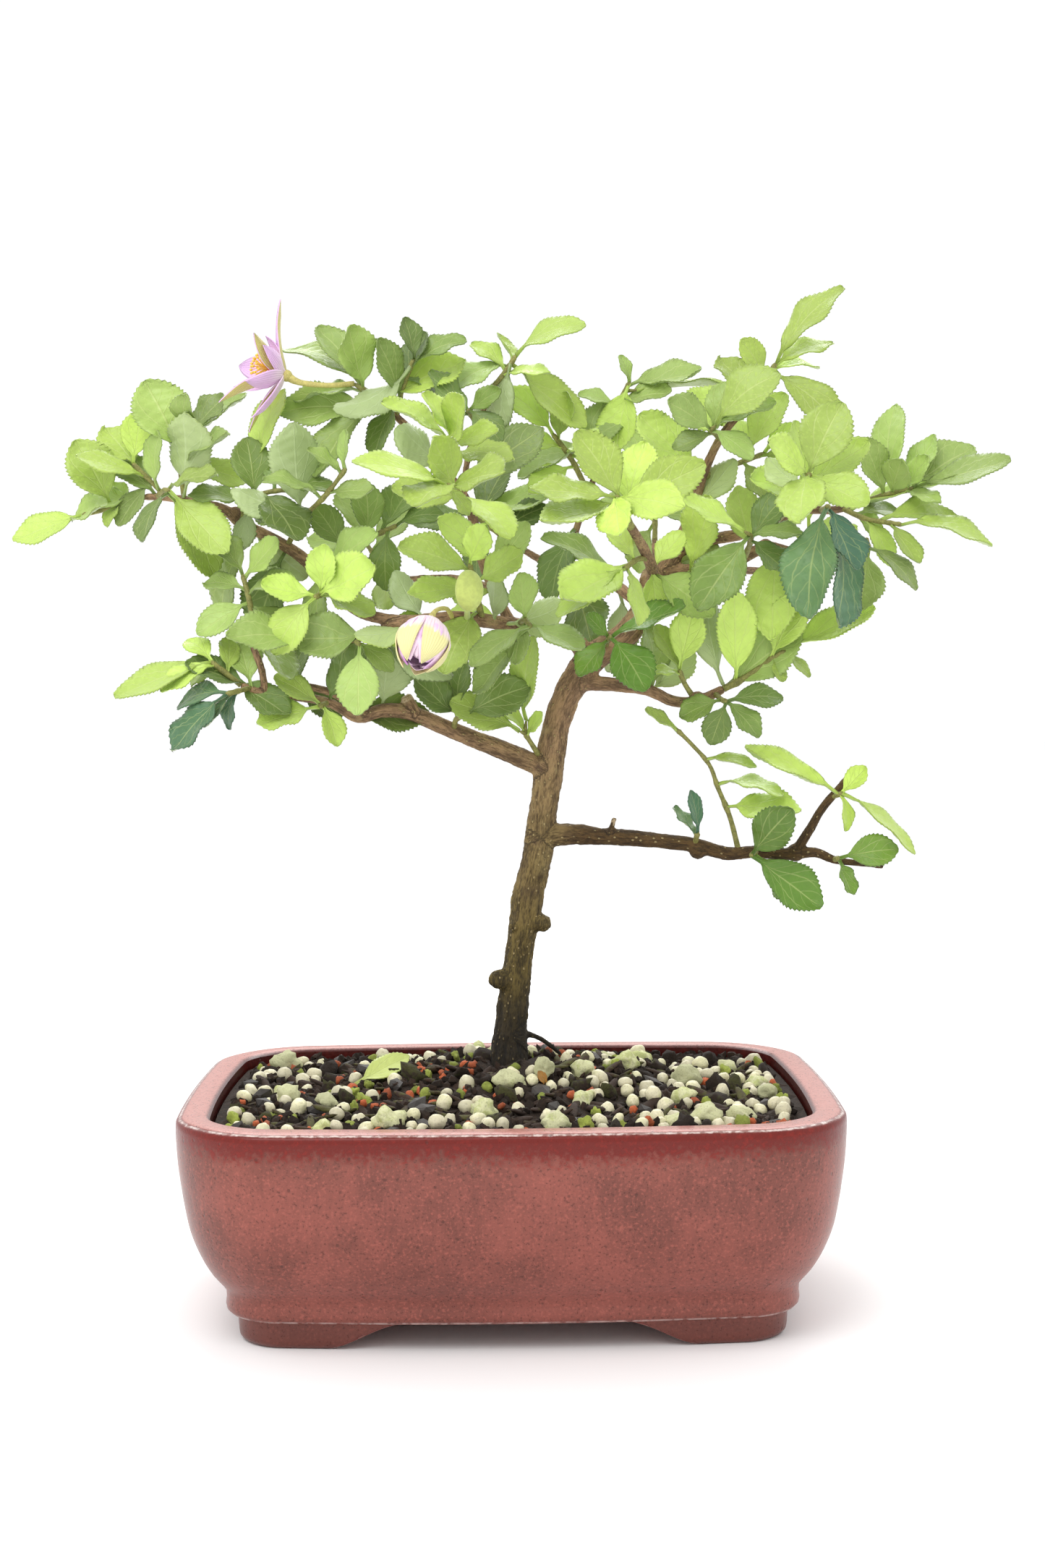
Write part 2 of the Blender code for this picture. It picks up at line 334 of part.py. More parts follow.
def clear_scene():
    for obj in list(bpy.data.objects):
        bpy.data.objects.remove(obj)
    for mesh in list(bpy.data.meshes):
        bpy.data.meshes.remove(mesh)


def linear(red, green, blue):
    """Colour read off the plant in 0 to 255, as the linear values that a shader takes."""
    return tuple((channel / 255.0) ** 2.2 for channel in (red, green, blue)) + (1.0,)


def material(name, colour, roughness):
    made = bpy.data.materials.new(name)
    made.use_nodes = True
    shader = made.node_tree.nodes["Principled BSDF"]
    shader.inputs["Base Color"].default_value = linear(*colour)
    shader.inputs["Roughness"].default_value = roughness
    shader.inputs["Metallic"].default_value = 0.0
    made.diffuse_color = linear(*colour)
    return made


def object_from(bm, name, finish=None):
    """The bmesh as a named object, with its normals facing out."""
    bmesh.ops.recalc_face_normals(bm, faces=bm.faces)
    mesh = bpy.data.meshes.new(name)
    bm.to_mesh(mesh)
    bm.free()
    obj = bpy.data.objects.new(name, mesh)
    bpy.context.scene.collection.objects.link(obj)
    if finish:
        mesh.materials.append(finish)
    return obj


def bake(obj):
    """Applies the object's modifiers."""
    bpy.context.view_layer.update()
    graph = bpy.context.evaluated_depsgraph_get()
    mesh = bpy.data.meshes.new_from_object(obj.evaluated_get(graph))
    obj.modifiers.clear()
    obj.data = mesh


def combine(obj, other, operation):
    """One applied Boolean of obj with other, which is then removed."""
    modifier = obj.modifiers.new(operation.title(), "BOOLEAN")
    modifier.operation = operation
    modifier.object = other
    bake(obj)
    bpy.data.objects.remove(other)


def fuse(obj, parts):
    """One applied union of obj with every object in parts, which are then removed."""
    gathered = bpy.data.collections.new(obj.name + "_parts")
    bpy.context.scene.collection.children.link(gathered)
    for part in parts:
        bpy.context.scene.collection.objects.unlink(part)
        gathered.objects.link(part)
    modifier = obj.modifiers.new("Union", "BOOLEAN")
    modifier.operation = "UNION"
    modifier.operand_type = "COLLECTION"
    modifier.collection = gathered
    modifier.solver = "MANIFOLD"
    bake(obj)
    for part in parts:
        bpy.data.objects.remove(part)
    bpy.data.collections.remove(gathered)
    keep_main_body(obj)


def slimmed(obj, share):
    """Merges the smallest of the object's triangles until a share of them is left."""
    modifier = obj.modifiers.new("Slim", "DECIMATE")
    modifier.ratio = share
    bake(obj)


def keep_main_body(obj):
    """Drops every island of the mesh but the largest: scraps, and walls of hollows that the union sealed."""
    bm = bmesh.new()
    bm.from_mesh(obj.data)
    unseen = set(bm.faces)
    islands = []
    while unseen:
        edge_of_search = [unseen.pop()]
        island = set(edge_of_search)
        while edge_of_search:
            face = edge_of_search.pop()
            for edge in face.edges:
                for other in edge.link_faces:
                    if other in unseen:
                        unseen.remove(other)
                        island.add(other)
                        edge_of_search.append(other)
        islands.append(island)
    largest = max(islands, key=len)
    for island in islands:
        if island is not largest:
            bmesh.ops.delete(bm, geom=list(island), context="FACES")
    loose = [vertex for vertex in bm.verts if not vertex.link_faces]
    bmesh.ops.delete(bm, geom=loose, context="VERTS")
    bm.to_mesh(obj.data)
    bm.free()


def outline(inset, corner_steps=4, long_steps=4, short_steps=3):
    """Bowed, round-cornered rectangle as (x, y), anticlockwise from the right-hand side."""
    half_x = POT_LENGTH / 2 - inset
    half_y = POT_DEPTH / 2 - inset
    corner = max(POT_CORNER - inset, SHARPEST_CORNER)
    points = []
    for turn in range(4):
        sign_x = (1, -1, -1, 1)[turn]
        sign_y = (1, 1, -1, -1)[turn]
        centre = Vector((sign_x * (half_x - corner), sign_y * (half_y - corner)))
        for step in range(corner_steps + 1):
            angle = math.radians(90 * (turn + step / corner_steps))
            points.append(centre + corner * Vector((math.cos(angle), math.sin(angle))))
        steps = (long_steps, short_steps)[turn % 2]
        start = points[-1]
        run = ((half_x - corner) if turn % 2 == 0 else (half_y - corner)) * 2
        along = Vector((-math.sin(math.radians(90 * (turn + 1))), math.cos(math.radians(90 * (turn + 1)))))
        points += [start + along * run * step / steps for step in range(1, steps)]
    bowed = []
    for point in points:
        bow_y = POT_BOW_LONG * (1 - (point.x / half_x) ** 2) * point.y / half_y
        bow_x = POT_BOW_SHORT * (1 - (point.y / half_y) ** 2) * point.x / half_x
        bowed.append((point.x + bow_x, point.y + bow_y))
    return bowed


def lofted(bm, rings, close_start=True, close_end=True, loop=False):
    """Skins a list of rings of vertices, which all have the same count."""
    pairs = list(zip(rings, rings[1:]))
    if loop:
        pairs.append((rings[-1], rings[0]))
    for low, high in pairs:
        for index in range(len(low)):
            following = (index + 1) % len(low)
            bm.faces.new((low[index], low[following], high[following], high[index]))
    if close_start and not loop:
        bm.faces.new(rings[0][::-1])
    if close_end and not loop:
        bm.faces.new(rings[-1])


def pot_rings(bm, profile):
    return [[bm.verts.new((x, y, z * MM)) for x, y in outline(inset * MM)] for z, inset in profile]


def arch_cutter(name, reach, along_x):
    """Long bar under the pot whose top is an arch, wider at the floor than where it meets the wall."""
    bm = bmesh.new()
    far, near = reach
    curve = []
    for step in range(ARCH_STEPS + 1):
        share = step / ARCH_STEPS
        eased = share + ARCH_EASE * (0.5 - 0.5 * math.cos(math.pi * share) - share)
        curve.append((far + (near - far) * share, ARCH_TOP * eased))
    section = [(far, -CUTTER_BELOW)] + curve + [(-x, z) for x, z in reversed(curve)] + [(-far, -CUTTER_BELOW)]
    ends = []
    for side in (-1, 1):
        span = side * POT_LENGTH
        ends.append([bm.verts.new((span, x, z) if along_x else (x, span, z)) for x, z in section])
    lofted(bm, ends)
    return object_from(bm, name)


def disc_cutter(name, x, radius, low, high):
    bm = bmesh.new()
    bmesh.ops.create_cone(bm, cap_ends=True, segments=16, radius1=radius, radius2=radius, depth=high - low,
                          matrix=Matrix.Translation((x, 0, (low + high) / 2)))
    return object_from(bm, name)


def make_pot(finish):
    bm = bmesh.new()
    lofted(bm, pot_rings(bm, POT_OUTSIDE + POT_INSIDE))
    pot = object_from(bm, "pot", finish)
    bm = bmesh.new()
    lofted(bm, pot_rings(bm, FOOT_OUTSIDE + FOOT_INSIDE), loop=True)
    feet = object_from(bm, "feet")
    combine(feet, arch_cutter("arch_long", ARCH_LONG, False), "DIFFERENCE")
    combine(feet, arch_cutter("arch_short", ARCH_SHORT, True), "DIFFERENCE")
    combine(pot, feet, "UNION")
    for side in (-1, 1):
        drain = disc_cutter("drain", side * DRAIN_X, DRAIN_RADIUS, 0.0, FLOOR_TOP + CUTTER_BELOW)
        combine(pot, drain, "DIFFERENCE")
    return pot


def make_screen(name, x, finish):
    """Mesh square that keeps the soil from the drain hole."""
    bm = bmesh.new()
    low = FLOOR_TOP + GAP
    bmesh.ops.create_cube(bm, size=1.0, matrix=Matrix.Translation((x, 0, low + SCREEN_THICK / 2))
                          @ Matrix.Diagonal((SCREEN_SIDE, SCREEN_SIDE, SCREEN_THICK, 1)))
    screen = object_from(bm, name, finish)
    pitch = SCREEN_SIDE / (SCREEN_HOLES + SCREEN_FRAME)
    bm = bmesh.new()
    for row in range(SCREEN_HOLES):
        for column in range(SCREEN_HOLES):
            middle = (SCREEN_HOLES - 1) / 2
            place = Vector((x + (row - middle) * pitch, (column - middle) * pitch, low))
            bmesh.ops.create_cube(bm, size=SCREEN_HOLE, matrix=Matrix.Translation(place))
    combine(screen, object_from(bm, name + "_holes"), "DIFFERENCE")
    return screen


def soil_height(x, y):
    """Smooth height of the soil, mounded towards the trunk."""
    reach_x, reach_y = SOIL_MOUND_REACH
    near = ((x / reach_x) ** 2 + ((y - TRUNK_DEPTH * MM) / reach_y) ** 2)
    return SOIL_EDGE + SOIL_MOUND * math.exp(-near)


def grain_places(edge):
    """Places of the soil's grains: a staggered, shaken grid inside the edge, which is convex."""
    draw = random.Random(SEED)
    places = []
    rows = int(POT_DEPTH / GRAIN_ROW)
    columns = int(POT_LENGTH / GRAIN_PITCH)
    sides = [(start, (end - start).normalized()) for start, end in zip(edge, edge[1:] + edge[:1])]
    for row in range(rows + 1):
        for column in range(columns + 1):
            shaken_x = column + 0.5 * (row % 2) + draw.uniform(-GRAIN_SHAKE, GRAIN_SHAKE)
            shaken_y = row + draw.uniform(-GRAIN_SHAKE, GRAIN_SHAKE)
            point = Vector(((shaken_x - columns / 2) * GRAIN_PITCH, (shaken_y - rows / 2) * GRAIN_ROW))
            height = SOIL_GRAIN * draw.uniform(LEAST_GRAIN, 1.0) if (column + row // 2) % 2 else 0.0
            if min(along.cross(point - start) for start, along in sides) > GRAIN_MARGIN:
                places.append((point, height))
    return places


def make_soil(finish):
    """Soil that fills the pot, mounded round the trunk, its top all grains that stand up in turn."""
    bm = bmesh.new()
    rings = []
    for z, inset in SOIL_BELOW:
        rings.append([bm.verts.new((x, y, z * MM)) for x, y in outline(inset * MM, **SOIL_STEPS)])
    edge = [Vector(point) for point in outline(SOIL_TOP_INSET, **SOIL_STEPS)]
    rings.append([bm.verts.new((*point, SOIL_LIP)) for point in edge])
    lofted(bm, rings, close_end=False)
    grains = grain_places(edge)
    spots = edge + [point for point, _ in grains]
    tops = rings[-1] + [bm.verts.new((*point, soil_height(*point) + height)) for point, height in grains]
    _, _, faces, origins, _, _ = delaunay_2d_cdt(spots, [], [], 0, DELAUNAY_GAP)
    for face in faces:
        bm.faces.new([tops[origins[corner][0]] for corner in face])
    soil = object_from(bm, "soil", finish)
    screens = []
    for side in (-1, 1):
        bm = bmesh.new()
        high = FLOOR_TOP + 2 * GAP + SCREEN_THICK
        size = SCREEN_SIDE + 2 * GAP
        bmesh.ops.create_cube(bm, size=1.0, matrix=Matrix.Translation((side * DRAIN_X, 0, high - size / 2))
                              @ Matrix.Diagonal((size, size, size, 1)))
        screens.append(object_from(bm, "screen_room"))
    for screen in screens:
        combine(soil, screen, "DIFFERENCE")
    room = [(place, radius + TRUNK_ROOM) for place, radius in route_of(TRUNK[:4])]
    combine(soil, tube("trunk_room", room, TRUNK_SIDES), "DIFFERENCE")
    return soil


def route_of(points):
    """Route points as (place, radius) in metres."""
    return [(seen(x, z, depth), radius * MM) for x, z, depth, radius in points]


def tube_bmesh(route, sides):
    """Closed round bar of changing radius along a route of (place, radius)."""
    bm = bmesh.new()
    rings = []
    across = None
    for index, (place, radius) in enumerate(route):
        ahead = route[min(index + 1, len(route) - 1)][0] - route[max(index - 1, 0)][0]
        ahead.normalize()
        if across is None:
            across = ahead.orthogonal()
        across = (across - ahead * across.dot(ahead)).normalized()
        over = ahead.cross(across)
        ring = []
        for side in range(sides):
            angle = 2 * math.pi * side / sides
            ring.append(bm.verts.new(place + radius * (math.cos(angle) * across + math.sin(angle) * over)))
        rings.append(ring)
    lofted(bm, rings)
    return bm


def tube(name, route, sides, finish=None):
    return object_from(tube_bmesh(route, sides), name, finish)


def route_from(route, length):
    """The rest of a route of (place, radius) from a length along it."""
    rest = []
    gone = 0.0
    for start, end in zip(route, route[1:]):
        run = (end[0] - start[0]).length
        if gone <= length < gone + run:
            share = (length - gone) / run
            rest.append((start[0].lerp(end[0], share), start[1] + (end[1] - start[1]) * share))
        gone += run
        if gone > length:
            rest.append(end)
    return rest


def stem_route(points, wood):
    """Route of a stem from the first place along it where it is just clear of the wood."""
    route = route_of(points)
    length = GAP
    while True:
        rest = route_from(route, length)
        fat = tube_bmesh([(place, radius + GAP) for place, radius in rest], TWIG_SIDES)
        if not tree_of(fat).overlap(wood):
            return rest
        length += GAP


def knob(place, radius, name):
    bm = bmesh.new()
    bmesh.ops.create_icosphere(bm, subdivisions=1, radius=radius, matrix=Matrix.Translation(place))
    return object_from(bm, name)


def make_wood(finish):
    """Trunk and limbs, their knobs and cut ends, and the root at the surface, grown into one body."""
    wood = tube("wood", route_of(TRUNK), TRUNK_SIDES, finish)
    parts = []
    for name, points in LIMBS.items():
        sides = LIMB_SIDES if points[0][3] > THIN_LIMB else THIN_LIMB_SIDES
        parts.append(tube(name, route_of(points), sides))
    for x, z, depth, radius in KNOBS:
        parts.append(knob(seen(x, z, depth), radius * MM, "knob"))
    fuse(wood, parts)
    return wood


def blade_outline(teeth):
    """One side of a blade: (share of the length, half width as a share of the widest), base to tip."""
    side = []
    for tooth in range(teeth):
        for part, depth in ((TOOTH_PEAK, 1.0), (1.0, TOOTH_NOTCH)):
            share = PETIOLE_SHARE + (1 - PETIOLE_SHARE) * (tooth + part) / (teeth + 0.5)
            along = (share - PETIOLE_SHARE) / (1 - PETIOLE_SHARE)
            width = math.sin(math.pi * along ** 1.15) ** 0.62
            side.append((share, width * depth))
    return side


def zip_faces(bm, left, right):
    """Triangles between two rows of (share, vertex), both running from base to tip."""
    i = j = 0
    while i < len(left) - 1 or j < len(right) - 1:
        next_left = left[i + 1][0] if i < len(left) - 1 else 2.0
        next_right = right[j + 1][0] if j < len(right) - 1 else 2.0
        if next_left <= next_right:
            corners = (left[i][1], left[i + 1][1], right[j][1])
            i += 1
        else:
            corners = (left[i][1], right[j + 1][1], right[j][1])
            j += 1
        if len(set(corners)) == 3:
            bm.faces.new(corners)


def blade_bmesh(base, tip, seen_width, thick, curl=BLADE_CURL, teeth=None):
    """Toothed leaf with its stalk: a thin folded sheet from base to tip, thickened along its normal."""
    along = tip - base
    length = along.length
    along.normalize()
    front = Vector((0, -1, 0.15))
    facing = (front - along * front.dot(along)).normalized()
    over = along.cross(facing)
    tilt = math.acos(min(seen_width / BLADE_RATIO, 1.0) * 0.97)
    if over.z < 0:
        over = -over
    normal = (facing * math.cos(tilt) + over * math.sin(tilt)).normalized()
    across = normal.cross(along)
    half = 0.5 * length * BLADE_RATIO * (LONG_RATIO if length > LONG_LEAF else 1.0)
    if teeth is None:
        teeth = 3 if length > MANY_TEETH else 2 if length > SHORT_BLADE else 1
    bm = bmesh.new()

    def point(share, width, drop):
        bend = curl * length * (4 * share * (1 - share)) - drop
        return bm.verts.new(base + along * (length * share) + across * width + normal * bend)

    rows = {}
    for sign in (-1, 1):
        row = [(0.0, point(0.0, sign * PETIOLE_HALF, 0.0))]
        row += [(share, point(share, sign * width * half, 0.0)) for share, width in blade_outline(teeth)]
        rows[sign] = row
    end = (1.0, point(1.0, 0.0, 0.0))
    spine_shares = (0.38, 0.7) if teeth > 2 else (0.5,)
    spine = [(share, point(share, 0.0, BLADE_FOLD * half)) for share in spine_shares]
    for sign in (-1, 1):
        zip_faces(bm, rows[sign] + [end], spine + [end])
    bm.faces.new((rows[-1][0][1], rows[1][0][1], spine[0][1]))
    bmesh.ops.recalc_face_normals(bm, faces=bm.faces)
    grown = bmesh.ops.extrude_face_region(bm, geom=bm.faces[:])
    moved = [item for item in grown["geom"] if isinstance(item, bmesh.types.BMVert)]
    bmesh.ops.translate(bm, verts=moved, vec=normal * thick)
    bmesh.ops.recalc_face_normals(bm, faces=bm.faces)
    return bm


def tree_of(bm):
    bmesh.ops.triangulate(bm, faces=bm.faces)
    tree = BVHTree.FromBMesh(bm)
    bm.free()
    return tree


def tree_of_object(obj):
    bm = bmesh.new()
    bm.from_mesh(obj.data)
    return tree_of(bm)


def along_route(route, share):
    """Point at a share of the route's length."""
    runs = [(b[0] - a[0]).length for a, b in zip(route, route[1:])]
    left = share * sum(runs)
    for (start, end), run in zip(zip(route, route[1:]), runs):
        if left <= run:
            return start[0].lerp(end[0], left / run)
        left -= run
    return route[-1][0]


def place_leaf(route, leaf, own, others):
    """The leaf's first pose that is clear of its own stem's blades and of the others, or None."""
    share, x, z, depth, seen_width = leaf
    base = along_route(route, 0.08 + 0.9 * share)
    for shrink in SHRINKS:
        for step in DEPTH_STEPS:
            tip = base.lerp(seen(x, z, depth + step), shrink)
            fat = tree_of(blade_bmesh(base, tip, seen_width, BLADE_THICK + CLEARANCE))
            if any(fat.overlap(other) for other in others):
                continue
            beyond = tree_of(blade_bmesh(base.lerp(tip, OWN_OVERLAP), tip, seen_width, BLADE_THICK))
            if any(beyond.overlap(blade) for blade in own):
                continue
            return blade_bmesh(base, tip, seen_width, BLADE_THICK)
    return None


def make_stems(finishes, wood, fixed):
    """Every leafy stem: its twig and blades fused to one body, clear of all that is not its own."""
    routes = {name: stem_route(stem[1], wood) for name, stem in STEMS.items()}
    twigs = {name: tube(name, route, TWIG_SIDES, finishes[STEMS[name][0]]) for name, route in routes.items()}
    trees = {name: [tree_of_object(twig)] for name, twig in twigs.items()}
    for name, (tone, points, leaves) in STEMS.items():
        others = fixed + [tree for other, found in trees.items() if other != name for tree in found]
        blades = []
        for leaf in leaves:
            bm = place_leaf(routes[name], leaf, trees[name][1:], others)
            if bm:
                blades.append(object_from(bm, "blade"))
                trees[name].append(tree_of_object(blades[-1]))
        fuse(twigs[name], blades)
        slimmed(twigs[name], STEM_SLIM)
    return twigs


def petal(base, tip, seen_width, cup):
    bm = blade_bmesh(base, tip, seen_width, PETAL_THICK, curl=cup, teeth=1)
    return object_from(bm, "petal")


def ball(name, centre, size, finish=None, subdivisions=2):
    bm = bmesh.new()
    bmesh.ops.create_icosphere(bm, subdivisions=subdivisions, radius=1.0,
                               matrix=Matrix.Translation(centre) @ Matrix.Diagonal((*size, 1)))
    return object_from(bm, name, finish)


def make_open_flower(finish):
    """Open star: five long sepals and five shorter petals round a boss of stamens."""
    centre = seen(*OPEN_FLOWER_CENTRE)
    route = route_from(route_of(OPEN_FLOWER_STALK), 3 * GAP)
    flower = tube("open_flower", route, 5, finish)
    faces = OPEN_FLOWER_FACES.normalized()
    parts = [ball("boss", centre, Vector((2.4, 2.4, 2.4)) * MM, subdivisions=1)]
    for x, z, depth in SEPAL_TIPS:
        parts.append(petal(centre, seen(x, z, depth), 0.2, 0.08))
    for x, z, depth in PETAL_TIPS:
        parts.append(petal(centre + faces * 0.8 * MM, seen(x, z, depth), 0.34, -0.06))
    side = faces.orthogonal().normalized()
    for index in range(STAMENS):
        turned = Matrix.Rotation(STAMEN_TURN * index, 3, faces) @ side
        end = centre + faces * STAMEN_LENGTH * (1 - 0.04 * index) + turned * 0.7 * index * MM
        parts.append(tube("stamen", [(centre, 0.5 * MM), (end, 0.6 * MM)], 3))
    fuse(flower, parts)
    return flower


def make_half_open_flower(finish, wood):
    """Cupped bloom on its stalk, with sepals folded along it."""
    centre = seen(*HALF_OPEN_CENTRE)
    flower = tube("half_open_flower", stem_route(HALF_OPEN_STALK, wood), 5, finish)
    parts = [ball("cup", centre, HALF_OPEN_SIZE)]
    top = seen(*HALF_OPEN_STALK[-1][:3])
    parts.append(tube("neck", [(top, 1.1 * MM), (centre, 3 * MM)], 5))
    axis = (centre - top).normalized()
    side = axis.orthogonal().normalized()
    for index in range(HALF_OPEN_SEPALS):
        turned = Matrix.Rotation(2 * math.pi * index / HALF_OPEN_SEPALS, 3, axis) @ side
        base = centre - axis * 6.5 * MM + turned * 2.5 * MM
        tip = centre + axis * 9.5 * MM + turned * 6.5 * MM
        bm = blade_bmesh(base, tip, BLADE_RATIO, BLADE_THICK, curl=0.0, teeth=1)
        parts.append(object_from(bm, "sepal"))
    fuse(flower, parts)
    return flower


def make_bud(finish, wood):
    centre = seen(*BUD_CENTRE)
    bud = tube("flower_bud", stem_route(BUD_STALK, wood), 5, finish)
    top = seen(*BUD_STALK[-1][:3])
    fuse(bud, [ball("egg", centre, BUD_SIZE), tube("neck", [(top, 1.1 * MM), (centre, 2 * MM)], 5)])
    return bud


def make_loose_leaf(name, ends, lean, rise, finish, soil):
    """Leaf leaned over and with its tip raised, let down until it rests on the soil's highest grains."""
    (x0, y0), (x1, y1) = ends
    length = math.hypot(x1 - x0, y1 - y0) / math.cos(rise) * MM
    leaf = blade_bmesh(Vector((0, 0, 0)), Vector((length, 0, 0)), BLADE_RATIO, BLADE_THICK, curl=0.0)
    facing = Vector((0, -1, 0.15)).normalized()
    level = facing.rotation_difference(Vector((0, 0, 1))).to_matrix().to_4x4()
    heading = Matrix.Rotation(math.atan2(y1 - y0, x1 - x0), 4, "Z")
    pose = heading @ Matrix.Rotation(-rise, 4, "Y") @ Matrix.Rotation(lean, 4, "X") @ level
    above = Vector((x0 * MM, y0 * MM, 0.2))
    bmesh.ops.transform(leaf, matrix=Matrix.Translation(above) @ pose, verts=leaf.verts)
    ground = tree_of_object(soil)
    falls = [ground.ray_cast(vertex.co, Vector((0, 0, -1)))[3] for vertex in leaf.verts]
    bmesh.ops.translate(leaf, verts=leaf.verts, vec=Vector((0, 0, -min(falls))))
    while BVHTree.FromBMesh(leaf).overlap(ground):
        bmesh.ops.translate(leaf, verts=leaf.verts, vec=Vector((0, 0, LEAF_STEP)))
    bmesh.ops.translate(leaf, verts=leaf.verts, vec=Vector((0, 0, GAP)))
    return object_from(leaf, name, finish)


def shade(obj):
    obj.data.shade_smooth()
    obj.data.set_sharp_from_angle(angle=SHARP_ANGLE)


def main():
    clear_scene()
    glaze = material("glaze", (146, 84, 76), 0.3)
    plastic = material("screen_plastic", (40, 42, 44), 0.6)
    earth = material("earth", (96, 88, 66), 0.95)
    bark = material("bark", (112, 84, 58), 0.9)
    petals = material("petals", (226, 170, 206), 0.6)
    cream = material("petal_cream", (236, 222, 170), 0.6)
    bud_green = material("bud_green", (176, 190, 104), 0.6)
    fallen = material("fallen_leaf", (176, 200, 110), 0.7)
    dead = material("dead_leaf", (140, 84, 34), 0.8)
    leaves = {
        "young": material("leaf_young", (188, 212, 98), 0.5),
        "bright": material("leaf_bright", (136, 172, 78), 0.5),
        "mid": material("leaf_mid", (104, 146, 66), 0.5),
        "deep": material("leaf_deep", (72, 118, 50), 0.45),
        "blue": material("leaf_blue", (104, 142, 120), 0.5),
    }
    make_pot(glaze)
    for side, name in ((-1, "drain_screen_left"), (1, "drain_screen_right")):
        make_screen(name, side * DRAIN_X, plastic)
    soil = make_soil(earth)
    wood = make_wood(bark)
    bark_tree = tree_of_object(wood)
    blooms = [make_open_flower(petals), make_half_open_flower(cream, bark_tree),
              make_bud(bud_green, bark_tree)]
    loose = [make_loose_leaf("fallen_leaf", FALLEN_LEAF, FALLEN_LEAF_LEAN, FALLEN_LEAF_RISE, fallen, soil),
             make_loose_leaf("dead_leaf", DEAD_LEAF, DEAD_LEAF_LEAN, DEAD_LEAF_RISE, dead, soil)]
    make_stems(leaves, bark_tree, [tree_of_object(obj) for obj in [wood, soil] + blooms + loose])
    for obj in bpy.context.scene.objects:
        shade(obj)


main()
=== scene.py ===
"""Looks of a flowering bonsai in a glazed pot, laid out as an add-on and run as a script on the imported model.

Metres, +Z up. The floor is z = 0, the pot's centre is x = y = 0, and the front faces -Y.
"""

import math
import random
from collections import namedtuple

import bmesh
import bpy
from mathutils import Euler, Matrix, Vector, noise
from mathutils.bvhtree import BVHTree
from mathutils.kdtree import KDTree


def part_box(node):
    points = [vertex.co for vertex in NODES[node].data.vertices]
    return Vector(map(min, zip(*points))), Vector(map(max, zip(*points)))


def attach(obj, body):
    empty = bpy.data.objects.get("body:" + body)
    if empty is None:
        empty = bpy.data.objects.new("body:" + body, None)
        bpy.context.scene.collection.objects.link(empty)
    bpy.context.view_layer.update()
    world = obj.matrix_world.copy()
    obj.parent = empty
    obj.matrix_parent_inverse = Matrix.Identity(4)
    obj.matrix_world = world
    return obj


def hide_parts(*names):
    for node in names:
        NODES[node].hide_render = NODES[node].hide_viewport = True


bl_info = {
    "name": "Starflower bonsai",
    "version": (1, 0, 0),
    "blender": (4, 5, 0),
    "location": "3D View > Sidebar > Bonsai",
    "description": "Glazed pot, soil, wood, leafy stems and flowers of a small trained tree",
    "category": "Object",
}

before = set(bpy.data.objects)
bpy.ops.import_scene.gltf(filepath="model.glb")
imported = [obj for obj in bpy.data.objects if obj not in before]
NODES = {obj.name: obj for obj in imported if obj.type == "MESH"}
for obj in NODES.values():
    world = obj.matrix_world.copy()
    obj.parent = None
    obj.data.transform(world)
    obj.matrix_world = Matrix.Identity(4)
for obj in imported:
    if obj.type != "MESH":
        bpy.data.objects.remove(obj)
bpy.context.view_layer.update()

MM = 0.001
SEED = 77

# Pot: the same sizes as its solid's. Profiles are (height, inset from the widest outline) in millimetres.
POT_LENGTH = 204.5 * MM
POT_DEPTH = 158.0 * MM
POT_BOW_LONG = 4.7 * MM
POT_BOW_SHORT = 3.3 * MM
POT_CORNER = 30.0 * MM
SHARPEST_CORNER = 12.0 * MM
FLOOR_TOP = 17.0 * MM
POT_OUTSIDE = ((7.4, 22.0), (8.8, 15.6), (11.5, 14.2), (15.8, 14.3), (21.0, 10.2), (27.0, 6.8), (35.0, 3.8),
               (45.0, 1.9), (56.0, 0.5), (67.3, 0.0), (69.3, 0.9), (70.0, 2.8))
POT_INSIDE = ((70.0, 9.0), (69.0, 10.2), (48.0, 11.2), (30.0, 14.6), (19.2, 23.0), (17.0, 30.0))
FOOT_OUTSIDE = ((0.0, 19.8), (1.6, 18.2), (8.9, 17.6))
FOOT_INSIDE = ((8.9, 35.0), (0.0, 34.0))
ARCH_TOP = 8.2 * MM
ARCH_LONG = (57.0 * MM, 36.0 * MM)
ARCH_SHORT = (37.0 * MM, 22.0 * MM)
ARCH_EASE = 0.4
ARCH_STEPS = 16
DRAIN_X = 46.0 * MM
DRAIN_RADIUS = 8.0 * MM
SHARP_EDGE = math.radians(42)

# Glaze by its climb along the profile in millimetres, which is 0 in the middle of the rim's flat top.
BAND_EDGE = (-15.0, -9.0)
# Climb of the painted highlight along the rim's rounded outer edge.
EDGE_HIGHLIGHT_CLIMB = -4.7
RIM_EDGE = (-4.4, -3.4)
INSIDE_EDGE = (2.6, 4.2)
FOOT_CLIMB = -70.0

# Camera, which is also where the routes below are seen from: place in millimetres and turns in radians.
EYE = Vector((-6.0, -724.8, 204.4))
PAN = 0.015
PITCH = 0.048
ROLL = -0.008
FOCAL_LENGTH = 50.34
TRUNK_DEPTH = 12.0

# Blades: width over length, how much wider all are made, the spread between leaves, and the stalk.
BLADE_RATIO = 0.58
WIDER = 1.16
LEAF_WIDTHS = (0.8, 1.08)
PETIOLE_SHARE = 0.15
PETIOLE_HALF = 0.55 * MM
# Long leaves are narrower.
LONG_LEAF = 31.0 * MM
LONG_NARROWER = 0.8
# Faces across a blade, the teeth of its edge, and the ripples and quilting of its face.
BLADE_COLUMNS = 8
NOTCH_DEPTH = 0.085
TOOTH_LEAN = 0.012
RIPPLES = 2.3
QUILTS = 7.0
QUILT_RISE = 0.035
